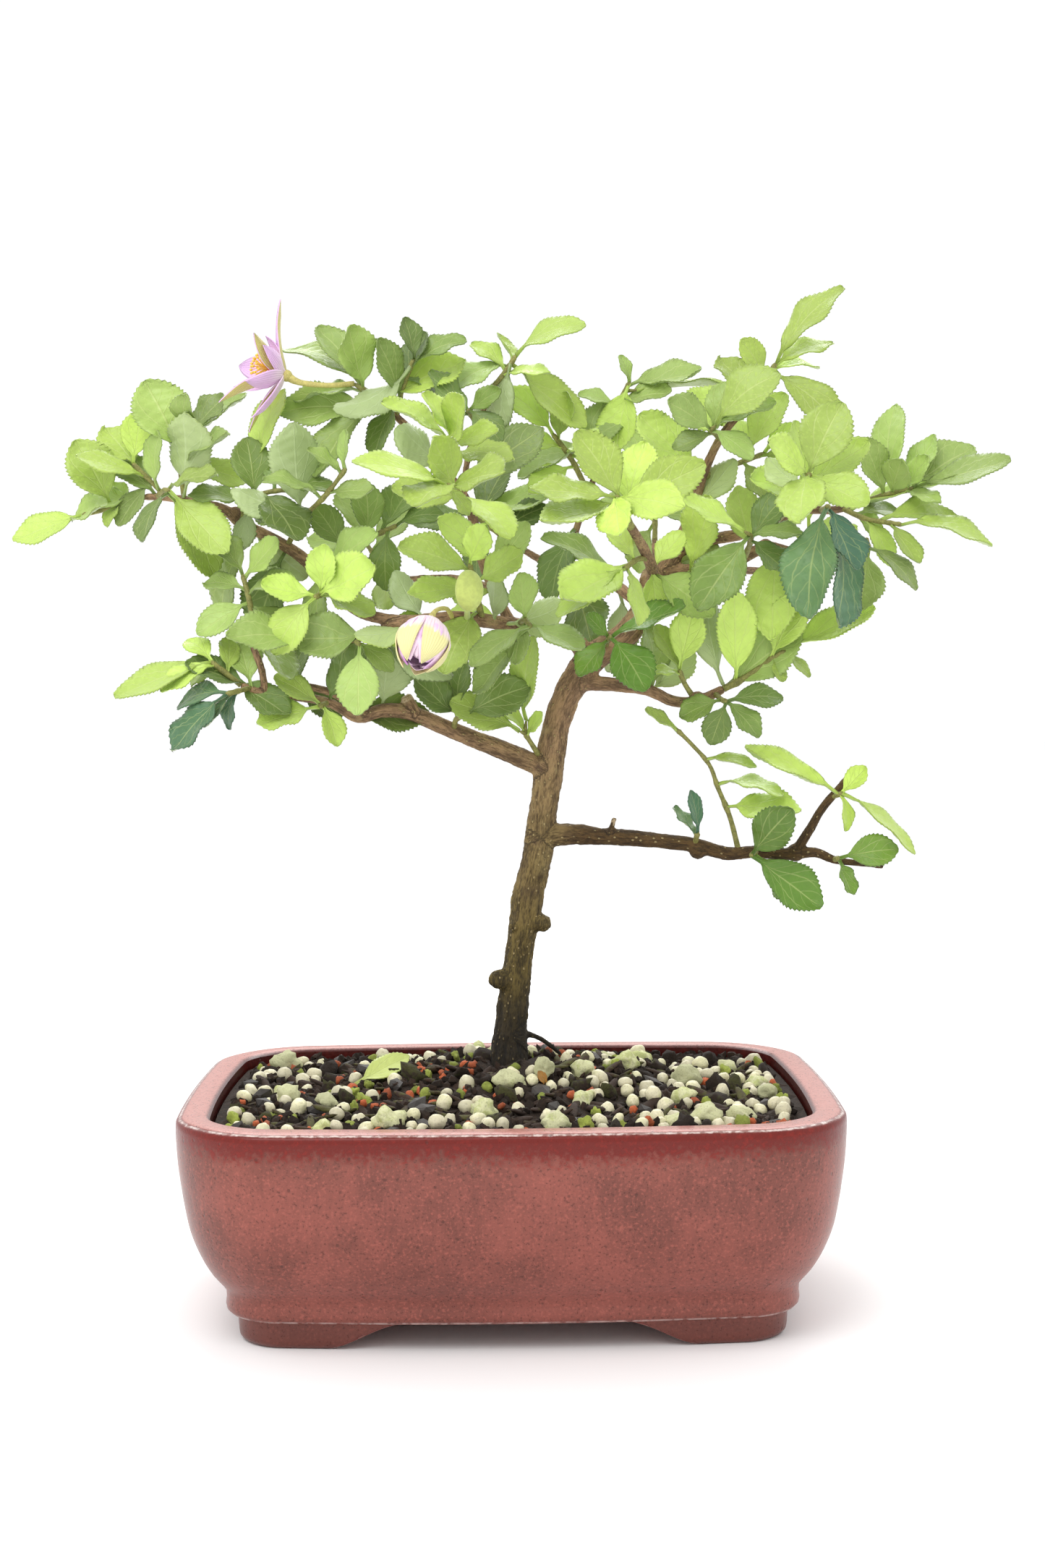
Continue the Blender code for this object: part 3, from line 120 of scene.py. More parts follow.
# Spread of the folds, curls and ripples between leaves.
FOLDS = (0.1, 0.34)
CURLS = (0.02, 0.17)
RIPPLE_HEIGHTS = (0.03, 0.13)
# A leaf's tip may lie nearer or deeper in its solid than its route says, or be drawn in towards the twig.
DEPTH_STEPS = (0, -4, 4, -8, 8, -13, 13, -19, 19, -26, 26)
SHRINKS = (1.0, 0.82, 0.66)
MATCH = 0.3 * MM
GAP = 0.3 * MM

# Crown's outline over the trunk's plane in millimetres, within which more leaves fill what is thin.
CROWN = ((-150, 260), (-137, 276), (-120, 297), (-98, 296), (-92, 281), (-80, 284), (-75, 306), (-55, 319),
         (-30, 316), (-8, 314), (8, 306), (28, 300), (48, 302), (66, 304), (80, 314), (92, 306), (104, 292),
         (128, 283), (148, 278), (152, 266), (134, 246), (126, 234), (112, 219), (98, 207), (76, 203),
         (60, 203), (36, 200), (18, 212), (2, 196), (-5, 184), (-28, 192), (-52, 186), (-84, 189),
         (-112, 190), (-120, 205), (-102, 218), (-92, 232), (-104, 243), (-124, 252))
# Filling leaves grow from twigs and thin limbs into the open cells of a grid, until few cells are left.
CELL = 2.5
THIN_LIMB = 2.6 * MM
INFILL_MOST = 230
INFILL_LEFT = 0.12
INFILL_TRIES = 26
INFILL_REACH = 32.0
INFILL_LENGTHS = (15.0, 30.0)
INFILL_WIDTHS = (0.18, 0.58)
CARRIERS_NEAR = 14
TURNED_OVER = 0.25
# Tones of the filling leaves: each up to its limit on a scale that grows upwards and to the right.
TONE_LIMITS = (("deep", 0.25), ("mid", 0.62), ("bright", 0.92), ("young", math.inf))
CROWN_BASE = 190 * MM
CROWN_HEIGHT = 125 * MM
CROWN_REACH = 600 * MM

# Limbs: every point is (x, z, depth, radius) in millimetres as seen over the trunk's plane.
TRUNK = ((0.5, 56, 12, 5.0), (0, 68, 12, 7.0), (0, 77, 12, 6.5), (0.5, 88, 12, 5.5), (3, 108, 12, 4.9),
         (6.5, 130, 12, 5.3), (10, 146, 12, 5.1), (12, 160, 12, 4.7), (14, 174, 12, 5.2), (17, 190, 13, 4.6),
         (22, 202, 14, 5.0), (29, 211, 15, 5.2), (38, 217, 17, 4.6), (45, 225, 19, 4.4), (50, 236, 20, 4.3),
         (54, 242, 20, 3.6), (59, 250, 20, 3.0), (63, 259, 19, 2.3))
LIMBS = {
    "lower_left": ((13, 174, 12, 3.6), (2, 179, 11.5, 3.3), (-8, 183, 10, 3.1), (-18, 187, 8, 2.9),
                   (-32, 193, 5, 2.6), (-42, 194, 3, 2.4), (-50, 192, 2, 2.1), (-60, 197, 1, 1.6),
                   (-72, 199, 0, 1.4), (-81, 200, -1, 1.3), (-89, 203, -2, 1.2)),
    "lower_left_cut": ((-31, 193, 5, 2.2), (-34, 199, 4, 2.0)),
    "lower_left_back": ((-48, 193, 2, 1.6), (-58, 200, 8, 1.5), (-70, 203, 14, 1.2)),
    "left_upright": ((-81, 200, -1, 1.2), (-82, 208, -1, 1.3), (-85, 217, 0, 1.2), (-85, 225, 1, 1.1)),
    "lower_right": ((10, 151, 12, 4.2), (20, 152, 12, 3.6), (32, 151, 11, 3.0), (46, 150, 10, 2.7),
                    (62, 148, 9, 2.5), (74, 145, 8, 2.3), (84, 145.5, 7, 2.1), (94, 144.5, 6, 2.2),
                    (104, 145, 4, 1.7), (110, 142.5, 3, 1.4), (120, 141, 2, 1.1), (127, 140, 2, 0.9)),
    "lower_right_nub": ((34, 151, 11, 1.0), (36, 157.5, 11, 0.9)),
    "lower_right_cut": ((97, 145, 6, 1.9), (102, 153, 5, 1.7), (107, 161, 4, 1.5), (116, 171, 3, 1.4)),
    "left": ((28, 211, 14, 3.4), (20, 219, 10, 3.0), (4, 222, 0, 2.7), (-8, 224, -10, 2.4),
             (-18, 225, -16, 2.2), (-36, 223.5, -14, 1.7), (-41, 221, -11, 1.5), (-51, 218, -8, 1.3),
             (-64, 218, -6, 1.1)),
    "upper_left": ((-30, 224, -14, 1.9), (-42, 225, -10, 1.9), (-52, 229, -4, 1.9), (-63, 241, 4, 2.1),
                   (-73, 249, 9, 2.1), (-88, 257, 15, 2.1), (-95, 262, 18, 1.8), (-111, 265.5, 24, 1.5),
                   (-120, 266, 27, 1.2)),
    "top": ((2, 222, 0, 2.0), (-4, 234, 2, 1.9), (-9, 248, 4, 1.8), (-12, 262, 6, 1.7), (-20, 274, 8, 1.6),
            (-28, 284, 9, 1.5), (-38, 294, 10, 1.3)),
    "top_small": ((-14, 266, 6, 1.2), (-12, 280, 12, 1.1), (-8, 291, 16, 1.1), (-4.5, 301, 18, 1.0)),
    "behind": ((44, 230, 19, 2.2), (34, 237, 28, 1.9), (22, 240, 36, 1.7), (12, 244, 42, 1.4),
               (2, 250, 50, 1.2)),
    "top_back": ((21, 240, 36, 1.3), (24, 255, 38, 1.3), (30, 272, 37, 1.2), (34, 287, 35, 1.1)),
    "right_middle": ((26, 203, 14, 2.9), (38, 202, 12, 2.3), (48, 200, 10, 2.0), (56, 196.5, 9, 2.0),
                     (64, 196, 8, 2.1), (69, 198.5, 8, 1.7), (73, 200.5, 7.5, 1.5)),
    "right_high": ((53, 240, 20, 2.8), (62, 240, 19, 2.5), (74, 241.5, 17, 2.3), (87, 247.5, 15, 2.1),
                   (100, 245, 13, 1.9), (112, 247, 11, 1.5), (121, 250, 10, 1.2)),
    "right_top": ((57, 246, 20, 2.4), (66, 250, 24, 2.2), (78, 252, 26, 2.0), (89, 256, 26, 1.9),
                  (98, 260, 25, 1.7), (110, 260, 24, 1.5), (121, 263, 23, 1.3)),
    "crown_rise": ((62, 257, 19, 1.9), (66, 271, 18, 1.7), (72, 284, 17, 1.5), (80, 294, 16, 1.3)),
    "front_rise": ((49, 234, 20, 2.2), (49, 241, 2, 2.0), (46, 248, -18, 1.8), (42, 255, -38, 1.5)),
    "back_centre": ((46, 229, 19, 2.1), (50, 240, 42, 1.6), (50, 250, 58, 1.2)),
    "back_left": ((-4, 234, 2, 1.6), (-16, 238, 26, 1.4), (-34, 238, 46, 1.2)),
    "back_right": ((72, 241.2, 17, 1.6), (82, 240, 38, 1.4), (92, 240, 54, 1.2)),
    "surface_root": ((2, 85, 12, 1.5), (8.5, 83.6, 14, 1.0), (13.5, 80.6, 17, 0.9), (17.5, 77, 20, 0.8)),
}
KNOBS = ((-3.9, 103, 8, 2.9), (11.2, 122, 10, 2.9), (1.5, 121, 7.6, 1.6), (12, 176, 8.5, 2.2),
         (64, 197, 7, 2.6), (87, 248, 14, 2.6), (97, 145, 6, 3.0), (64, 146, 9, 2.9),
         (-90, 260, 16.5, 2.5), (49, 238, 17, 3.6))

# Leafy stems: tone, the twig's route, then each leaf as (share along the twig, tip x, tip z, tip depth,
# seen width). A seen width near the blade's own ratio of width to length faces the front, and a small one
# is near edge on.
STEMS = {
    "stem_far_left": ("bright", ((-120, 266, 27, 1.2), (-131, 262.5, 29, 1.0), (-141, 260, 30, 0.8)), (
        (1.0, -164.4, 252, 30, 0.5), (0.3, -133, 256, 22, 0.45), (0.5, -143, 285, 27, 0.58),
        (0.2, -131, 271, 36, 0.5))),
    "stem_left_crown": ("young", ((-113, 265.6, 25, 1.1), (-118, 271, 25, 0.9), (-124, 277, 26, 0.8)), (
        (0.5, -143, 279.5, 16, 0.4), (1.0, -121, 295, 27, 0.58), (0.8, -133, 289, 36, 0.55))),
    "stem_left_up": ("mid", ((-107, 265, 23, 1.1), (-108, 277, 24, 1.0), (-105, 288, 25, 0.8)), (
        (0.55, -119.5, 304.5, 26, 0.58), (0.95, -106, 300, 16, 0.5), (1.0, -93.5, 300, 26, 0.5),
        (0.75, -86, 300, 34, 0.3), (0.35, -92, 286.5, 12, 0.3), (0.85, -115, 288, 38, 0.5))),
    "stem_left_drop": ("bright", ((-116, 265.9, 26, 1.0), (-114, 268, 16, 0.9), (-112, 268, 8, 0.8)), (
        (1.0, -93, 247, -4, 0.58), (0.6, -97.5, 239, 16, 0.5), (0.8, -96, 273, 2, 0.35))),
    "stem_left_mid": ("deep", ((-88, 257, 15, 1.2), (-86, 263, 11, 1.0), (-80, 267, 8, 0.9),
                               (-72, 268, 5, 0.8)), (
        (0.35, -86, 285.5, 12, 0.58), (0.75, -75.5, 281.5, 10, 0.55), (0.2, -106, 266, 6, 0.4),
        (1.0, -57, 268, -2, 0.4), (0.5, -69, 251, -6, 0.5))),
    "stem_left_arch": ("mid", ((-73, 249, 9, 1.2), (-68, 258, 2, 1.0), (-60, 266, -5, 0.9),
                               (-53, 275, -8, 0.8)), (
        (0.95, -66, 281.5, -12, 0.38), (1.0, -53, 288, -8, 0.35), (0.3, -87, 259, -10, 0.5),
        (0.7, -44, 268, -12, 0.5), (0.6, -81, 271, -8, 0.3))),
    "stem_flower": ("mid", ((-38, 294, 10, 1.3), (-44, 299, 9, 1.0), (-50, 303, 8, 0.9)), (
        (0.4, -63.5, 272, 2, 0.45), (0.7, -73.5, 314, 24, 0.42), (0.8, -62, 322, 14, 0.5),
        (0.75, -51, 322.5, -4, 0.5), (0.6, -70, 297, 16, 0.3))),
    "stem_top_mid": ("deep", ((-36, 292, 9.8, 1.2), (-34, 301, 8, 0.9), (-30, 311, 6, 0.8)), (
        (0.15, -42, 318, -3, 0.45), (0.5, -26, 320, 12, 0.4), (0.85, -12.5, 317.5, 8, 0.45),
        (1.0, -33, 325, 5, 0.5), (0.6, -18, 300, 14, 0.5), (0.1, -44, 279, 2, 0.45))),
    "stem_top_small": ("bright", ((-4.5, 301, 18, 1.0), (0, 306, 18, 0.9), (4, 312, 18, 0.8)), (
        (1.0, 27.5, 322, 12, 0.42), (0.35, 15.5, 306, 12, 0.35), (0.5, -11, 316, 22, 0.45),
        (0.85, -1.5, 319, 26, 0.3))),
    "stem_top_low": ("deep", ((-9, 289, 15, 1.1), (-11, 292, 9, 0.9), (-12, 294, 3, 0.8)), (
        (0.6, -25, 307, 4, 0.42), (0.9, -1, 301, -2, 0.58), (1.0, -1, 283, -2, 0.58),
        (0.7, -25, 290, -3, 0.5))),
    "stem_top_front": ("young", ((-20, 274, 8, 1.2), (-18, 278, -2, 1.0), (-17, 283, -12, 0.8)), (
        (0.8, -41, 297, -18, 0.3), (1.0, -27, 300, -20, 0.35), (0.95, -14, 299, -20, 0.4),
        (0.9, -2, 287, -22, 0.5), (0.5, 3, 277, -14, 0.45))),
    "stem_front_yellow": ("young", ((-12, 262, 6, 1.5), (-14, 264, -20, 1.2), (-17, 267, -44, 1.0),
                                    (-19, 269, -56, 0.9)), (
        (1.0, -51, 277, -68, 0.4), (0.9, 0, 274, -70, 0.45), (0.95, -30, 262, -72, 0.45),
        (0.8, -24, 285, -60, 0.5), (1.0, -12, 259, -72, 0.5), (0.5, 2, 251, -40, 0.4),
        (0.4, -38, 268, -30, 0.5))),
    "stem_front_bright": ("young", ((42, 255, -38, 1.5), (40, 260, -54, 1.1), (37, 265, -64, 0.9)), (
        (1.0, 8, 268, -66, 0.42), (0.95, 60, 261, -80, 0.58), (0.8, 12, 257, -70, 0.35),
        (0.75, 24, 287, -58, 0.55), (0.7, 67, 276, -54, 0.58), (0.5, 47, 283, -44, 0.55),
        (1.0, 38, 252, -78, 0.5))),
    "stem_front_low": ("bright", ((47.5, 244.5, -8, 1.4), (44, 244, -20, 1.0), (40, 241, -32, 0.8)), (
        (0.7, 19, 231, -44, 0.5), (1.0, 17, 225, -34, 0.35), (0.9, 44, 222, -42, 0.3),
        (0.4, 33, 256, -26, 0.5))),
    "stem_mid_low": ("mid", ((4, 222, 0, 1.4), (6, 224, -14, 1.0), (8, 222, -26, 0.8)), (
        (1.0, -12, 208.5, -34, 0.4), (0.7, 3, 209, -26, 0.55), (0.5, 5, 240, -24, 0.5),
        (0.9, 26, 214, -32, 0.4))),
    "stem_bud": ("bright", ((-8, 224, -10, 1.4), (-10, 234, -22, 1.0), (-12, 243, -30, 0.8)), (
        (0.8, -36, 249, -36, 0.5), (1.0, -6, 256, -40, 0.55), (0.55, -33, 233, -30, 0.5),
        (0.6, 6, 247, -28, 0.5))),
    "stem_left_inner": ("mid", ((-51, 218, -8, 1.2), (-50, 217, -15, 0.9), (-49, 216, -20, 0.8)), (
        (1.0, -50, 192.5, -26, 0.58), (0.5, -38, 207, -16, 0.5))),
    "stem_left_tip": ("young", ((-64, 218, -6, 1.1), (-67, 217.5, -7, 0.8)), (
        (1.0, -73, 215, -8, 0.5),)),
    "stem_left_face": ("bright", ((-57, 234, 0, 1.3), (-62, 233, -8, 0.9), (-64, 232, -12, 0.8)), (
        (1.0, -78, 213, -14, 0.58), (0.6, -44, 226, -14, 0.4), (0.5, -60, 250, -14, 0.55),
        (0.9, -82, 237, -16, 0.5), (0.7, -44, 243, -16, 0.58))),
    "stem_low_left_tip": ("bright", ((-89, 203, -2, 1.2), (-94, 207, -3, 0.9), (-99, 211, -4, 0.8)), (
        (1.0, -131.5, 199.5, -6, 0.38), (0.95, -107, 218, 4, 0.5), (0.85, -116, 201, -12, 0.45),
        (0.6, -105, 205, 8, 0.5), (0.4, -93, 219, 6, 0.5))),
    "stem_low_left_drop": ("blue", ((-86, 202, -1.8, 1.1), (-90, 201, -8, 0.9), (-94, 200, -12, 0.8)), (
        (1.0, -112.5, 181, -16, 0.4), (0.8, -102, 189, -20, 0.3), (0.5, -93, 188, -8, 0.4),
        (0.9, -110, 196, -4, 0.4))),
    "stem_left_upright": ("mid", ((-85, 225, 1, 1.1), (-86, 232, 1, 0.9), (-88, 240, 2, 0.8)), (
        (0.3, -103.5, 220, -2, 0.55), (0.6, -101, 237, 8, 0.5), (1.0, -97, 254, 0, 0.5),
        (0.9, -76, 252, -4, 0.5), (0.5, -70, 238, -4, 0.4), (0.2, -73, 221, 2, 0.5))),
    "stem_low_left_hang": ("bright", ((-60, 197, 1, 1.3), (-63, 195.5, -5, 0.8)), (
        (1.0, -84, 190, -8, 0.42), (0.6, -78, 206, -6, 0.5), (0.5, -57, 182, -6, 0.5))),
    "stem_low_left_in": ("deep", ((-18, 187, 8, 1.4), (-17, 191, 2, 0.9), (-14, 192, -2, 0.8)), (
        (1.0, 8, 202, -6, 0.58), (0.7, -31, 206, -6, 0.5), (0.5, -14, 211, 6, 0.5))),
    "stem_axil": ("bright", ((11, 178, 11, 1.2), (6, 186, 4, 0.8)), (
        (1.0, -3, 195, 4, 0.35), (0.9, 12, 193, -1, 0.4))),
    "stem_trunk_face": ("low", ((33, 214, 16, 1.3), (34, 217, 6, 0.9), (35, 218, -2, 0.8)), (
        (1.0, 47, 200, -10, 0.58), (0.8, 27, 226, -6, 0.55), (0.9, 60, 229, -10, 0.3),
        (0.6, 24, 205, 0, 0.5))),
    "stem_right_mid_tip": ("bright", ((73, 200.5, 7.5, 1.5), (79, 203.5, 6.5, 1.3), (86, 208, 6, 1.1),
                                      (90, 211, 5, 0.9), (94, 213, 4, 0.8)), (
        (0.1, 77, 233.5, -4, 0.58), (0.75, 99, 233, 0, 0.58), (1.0, 124, 227.5, 4, 0.45),
        (0.8, 93, 202.5, 0, 0.5), (0.97, 102, 204, 2, 0.4))),
    "stem_right_mid_up": ("bright", ((64, 196, 8, 1.4), (60, 202, 6, 1.0), (58, 207, 4, 0.8)), (
        (1.0, 63, 228, 0, 0.58), (0.8, 48, 206, 0, 0.4), (0.9, 50, 222, 8, 0.5))),
    "stem_right_mid_low": ("deep", ((70, 199, 8, 1.3), (72, 197, 2, 0.9), (74, 196, -2, 0.8)), (
        (1.0, 68.5, 181.5, -4, 0.58), (0.9, 85, 184, -6, 0.5), (0.95, 93, 197, 2, 0.5),
        (0.6, 58, 191, 6, 0.5))),
    "stem_low_thin": ("bright", ((78, 145, 8, 1.2), (75, 157, 6, 1.0), (71, 167, 4, 0.9), (68, 175, 3, 0.8),
                                 (62, 182, 2, 0.8), (57, 187, 1, 0.8)), (
        (1.0, 46.5, 194, 0, 0.3), (0.68, 84, 174, 0, 0.25), (0.25, 99, 159, -4, 0.45),
        (0.45, 93, 164, 6, 0.25))),
    "stem_low_small": ("blue", ((63, 148, 9, 1.2), (64, 152, 3, 0.8)), (
        (1.0, 61.5, 166.5, 2, 0.4), (0.7, 56, 161, 8, 0.3))),
    "stem_low_fan": ("low", ((84, 145.5, 7, 1.2), (83, 145, 1, 0.9), (82, 144, -3, 0.8)), (
        (0.9, 96, 160, -8, 0.58), (1.0, 106, 126.5, -4, 0.58), (0.5, 94, 129, 6, 0.5))),
    "stem_low_tip": ("low", ((110, 142.5, 3, 1.2), (112, 143, -2, 0.8)), (
        (1.0, 132, 146, -4, 0.58), (0.7, 117, 130.5, -2, 0.42))),
    "stem_low_cut": ("young", ((109, 163.5, 3.7, 1.0), (113, 165, 0, 0.8)), (
        (1.0, 137.5, 144, -2, 0.25), (0.7, 121, 174, 0, 0.5), (0.5, 114, 152, 0, 0.4),
        (0.3, 80, 181, 0, 0.3))),
    "stem_right_tip": ("mid", ((121, 263, 23, 1.3), (128, 265, 20, 1.0), (137, 267, 16, 0.8)), (
        (1.0, 169.7, 276.6, 5, 0.38), (0.95, 157, 281, 14, 0.5), (0.85, 142, 278, 8, 0.45),
        (0.5, 133, 277, 6, 0.5), (0.75, 144, 285, 28, 0.4), (0.3, 120, 284, 14, 0.5),
        (0.55, 131, 295, 28, 0.4), (0.8, 146, 262, 8, 0.45))),
    "stem_right_low": ("bright", ((113, 260.6, 23.8, 1.2), (121, 257, 16, 0.9), (133, 255, 10, 0.8)), (
        (1.0, 163.5, 247.5, 8, 0.35), (0.8, 139, 242, 4, 0.45), (0.6, 152, 256, 18, 0.45),
        (0.3, 129, 241, 14, 0.5))),
    "stem_right_high_end": ("mid", ((121, 250, 10, 1.2), (122, 247, 6, 0.8)), (
        (1.0, 119, 226.5, 2, 0.58), (0.8, 138, 233, 4, 0.4))),
    "stem_right_blue": ("blue", ((106, 260, 24, 1.3), (108, 261, 6, 1.0), (108, 261, -8, 0.9)), (
        (1.0, 101, 224, -18, 0.5), (0.9, 118, 240, -14, 0.45), (0.5, 112, 221, 4, 0.3))),
    "stem_right_front": ("bright", ((91, 257, 26, 1.7), (96, 262, 0, 1.4), (100, 268, -26, 1.1),
                                    (102, 272, -40, 0.9)), (
        (1.0, 122, 262, -50, 0.58), (0.9, 113, 296, -34, 0.58), (0.8, 122, 283, -28, 0.5),
        (0.95, 88, 283, -48, 0.5), (1.0, 99, 256, -56, 0.5), (0.65, 97, 290, -18, 0.5),
        (0.45, 82, 271, -20, 0.5))),
    "stem_right_inner": ("deep", ((80, 244.3, 16, 1.5), (82, 249, 4, 1.0), (82, 252, -6, 0.9)), (
        (1.0, 64, 227, -14, 0.58), (0.7, 96, 239, -8, 0.5), (0.5, 95, 266, 0, 0.5),
        (0.9, 100, 252, -10, 0.4))),
    "stem_top_right": ("young", ((80, 294, 16, 1.3), (86, 302, 14, 1.0), (91, 309, 12, 0.8)), (
        (1.0, 113.5, 334, 10, 0.42), (0.6, 79, 317, 4, 0.55), (0.95, 110, 315.5, 18, 0.4),
        (0.8, 105, 307, 22, 0.35), (0.3, 72, 311, 26, 0.5))),
    "stem_crown_mid": ("mid", ((72, 284, 17, 1.3), (70, 286, 8, 0.9), (69, 287, 0, 0.8)), (
        (1.0, 54.5, 297, -6, 0.58), (0.7, 75, 303, 4, 0.55), (0.95, 83, 277, -6, 0.55),
        (0.8, 91, 296, -2, 0.4), (0.5, 56, 281, 10, 0.5))),
    "stem_crown_side": ("bright", ((66, 271, 18, 1.4), (76, 275, 24, 1.0), (87, 279, 28, 0.8)), (
        (1.0, 99, 288, 28, 0.5), (0.9, 106, 276, 22, 0.5), (0.6, 88, 263, 18, 0.5),
        (0.7, 73, 292, 34, 0.5))),
    "stem_top_back": ("mid", ((34, 287, 35, 1.1), (38, 296, 34, 0.9), (42, 303, 32, 0.8)), (
        (1.0, 38.5, 312, 30, 0.5), (0.95, 66, 307.5, 30, 0.38), (0.5, 56, 300, 24, 0.45),
        (0.4, 24.5, 299, 34, 0.45))),
    "stem_top_back_low": ("bright", ((28, 266, 37.5, 1.3), (22, 278, 34, 1.0), (16, 286, 30, 0.8)), (
        (1.0, 0, 301, 26, 0.5), (0.85, 21, 300, 26, 0.5), (0.7, 2, 286, 32, 0.5), (0.5, 38, 278, 28, 0.5),
        (0.3, 8, 266, 30, 0.5), (0.6, 32, 285, 20, 0.4))),
    "stem_mid_left": ("deep", ((-63, 241, 4, 1.5), (-55, 247, 10, 1.1), (-45, 252, 13, 1.0),
                               (-36, 256, 15, 0.8)), (
        (0.3, -64, 263, 10, 0.58), (0.6, -47, 271, 10, 0.55), (1.0, -20, 259, 12, 0.5),
        (0.9, -40, 234, 8, 0.58), (0.8, -30, 272, 20, 0.5), (0.5, -54, 230, 12, 0.5))),
    "stem_behind": ("deep", ((2, 250, 50, 1.2), (-5, 255, 54, 1.0), (-12, 260, 56, 0.8)), (
        (0.5, -10, 238, 60, 0.5), (1.0, -31, 257, 58, 0.5), (0.8, 0, 276, 60, 0.5),
        (0.2, 14, 262, 46, 0.5))),
    "stem_back_centre": ("mid", ((50, 250, 58, 1.2), (50, 258, 64, 1.0), (48, 268, 68, 0.8)), (
        (1.0, 42, 288, 70, 0.5), (0.9, 66, 276, 76, 0.5), (0.7, 30, 262, 76, 0.5), (0.5, 66, 258, 70, 0.5),
        (0.3, 44, 240, 76, 0.5))),
    "stem_back_left": ("mid", ((-34, 238, 46, 1.2), (-42, 244, 54, 1.0), (-48, 252, 60, 0.8)), (
        (1.0, -54, 270, 64, 0.5), (0.9, -66, 252, 70, 0.5), (0.7, -32, 262, 66, 0.5),
        (0.5, -40, 228, 68, 0.5), (0.3, -56, 240, 48, 0.5))),
    "stem_back_right": ("bright", ((92, 240, 54, 1.2), (98, 246, 60, 1.0), (102, 254, 64, 0.8)), (
        (1.0, 106, 274, 68, 0.5), (0.9, 118, 254, 72, 0.5), (0.7, 84, 262, 70, 0.5),
        (0.5, 104, 230, 66, 0.5), (0.3, 112, 242, 52, 0.5))),
}

# Flowers: stalk routes and centres as for the stems.
OPEN_FLOWER_STALK = ((-50, 303, 8, 1.1), (-59, 302.5, 6, 1.0), (-68, 303.5, 5, 1.1), (-72, 305.5, 5, 2.0))
OPEN_FLOWER_CENTRE = (-72.5, 305.8, 5)
OPEN_FLOWER_FACES = Vector((-0.92, -0.12, 0.36))
SEPAL_TIPS = ((-74, 331, 6), (-83, 320, -9), (-95, 297, -6), (-85, 287, 9), (-88, 309, 26))
PETAL_TIPS = ((-79, 319, 10), (-86, 304, -9), (-84, 292, -3), (-90, 302, 12), (-80, 316, -6))
STAMEN_COUNT = 34
STAMEN_SPREAD = 6.5 * MM
STAMEN_LENGTH = 11.0 * MM
# Half widths over lengths of the open flower's sepals and petals, and how far the petals stand off it.
SEPAL_HALF = 0.22 * BLADE_RATIO * WIDER
PETAL_HALF = 0.27 * BLADE_RATIO * WIDER
PETAL_LIFT = 0.8 * MM
HALF_OPEN_STALK = ((-18, 225, -16, 1.3), (-20, 228, -34, 1.1), (-24, 227, -48, 1.1))
HALF_OPEN_CENTRE = (-27.5, 217.5, -54)
HALF_OPEN_SIZE = Vector((8.6, 8.2, 10.0)) * MM
# Rings of five petals, then of five sepals: girth, start and end along the flower's axis, and material.
HALF_OPEN_RINGS = ((0.95, -6.8, 9.6, 0), (1.08, -7.4, 8.4, 0), (1.2, -7.8, 10.6, 1))
BUD_STALK = ((-13, 224.6, -13, 1.3), (-13, 227, -30, 1.1), (-13, 229, -42, 1.1))
BUD_CENTRE = (-12.5, 234, -46)
BUD_SIZE = Vector((4.6, 4.6, 6.4)) * MM

LooseLeaf = namedtuple("LooseLeaf", "node ends lean rise ratio curl")
# Loose leaves leaning on the soil: (x, y) of base and tip in millimetres, how far each leans over sideways
# towards the front and how steeply its tip rises in degrees, its width over its length and its curl.
LOOSE_LEAVES = (
    LooseLeaf("fallen_leaf", ((-51.5, -2.0), (-34.0, 9.0)), 30, 20, 0.46, 0.03),
    LooseLeaf("dead_leaf", ((11.5, -14.0), (9.0, -14.5)), -70, 64, BLADE_RATIO, 0.12),
)

# Cut ends of limbs, as seen over the trunk's plane with their depths, and how far their bare wood reaches.
CUT_ENDS = ((-34, 199, 4), (36, 157.5, 11), (116, 171, 3))
CUT_REACH = 2.6 * MM

# Bark by height: the black foot, the olive film and the branches' bark, each over the range in which it
# fades.
FOOT_BLACK = (83 * MM, 112 * MM)
OLIVE_FILM = (108 * MM, 178 * MM)
UPPER_BARK = (165 * MM, 225 * MM)
# Where the dark bark of the lowest branch begins beside the trunk, and where it ends above the branch.
LIMB_START = (13 * MM, 26 * MM)
LIMB_TOP = (165 * MM, 182 * MM)
# Wood: how much knobs and their stubs swell, how deep a stub is rooted, and the bark's lumps.
KNOB_SWELL = 1.05
STUB_SWELL = 1.35
STUB_ROOT = 0.4
SMOOTHINGS = 3
FULL_BARK = 5.0 * MM
GRAIN_STRETCH = 0.28
LUMP_SIZE = 7.0 * MM
LUMP_HEIGHT = 0.5 * MM

Grain = namedtuple("Grain", "kind count size stretch roughness detail sink")
# Soil: each kind of grain by its count, half its size in millimetres, its stretch, roughness and fineness,
# and how deep it sinks. They take their places in this order.
GRAINS = (
    Grain("lump", 26, 4.6, (1.0, 0.8, 0.75), 0.5, 3, 0.1),
    Grain("clod", 60, 3.2, (1.2, 0.9, 0.7), 0.7, 2, 0.3),
    Grain("stone", 30, 3.4, (1.2, 0.8, 0.6), 0.34, 1, 0.1),
    Grain("chip", 260, 6.6, (1.0, 0.22, 0.12), 0.25, 2, 0.0),
    Grain("pellet", 200, 2.5, (1.0, 0.9, 0.86), 0.16, 3, -0.1),
    Grain("lava", 84, 1.9, (1.0, 0.8, 0.8), 0.5, 2, 0.0),
    Grain("moss", 80, 2.2, (1.1, 0.9, 0.7), 0.5, 3, 0.1),
    Grain("crumb", 1600, 1.8, (1.2, 0.9, 0.7), 0.6, 1, 0.3),
)
FLAT_GRAINS = ("lump", "stone", "chip")
FINE_GRAINS = ("clod", "crumb")
SIZE_SPREAD = (0.78, 1.22)
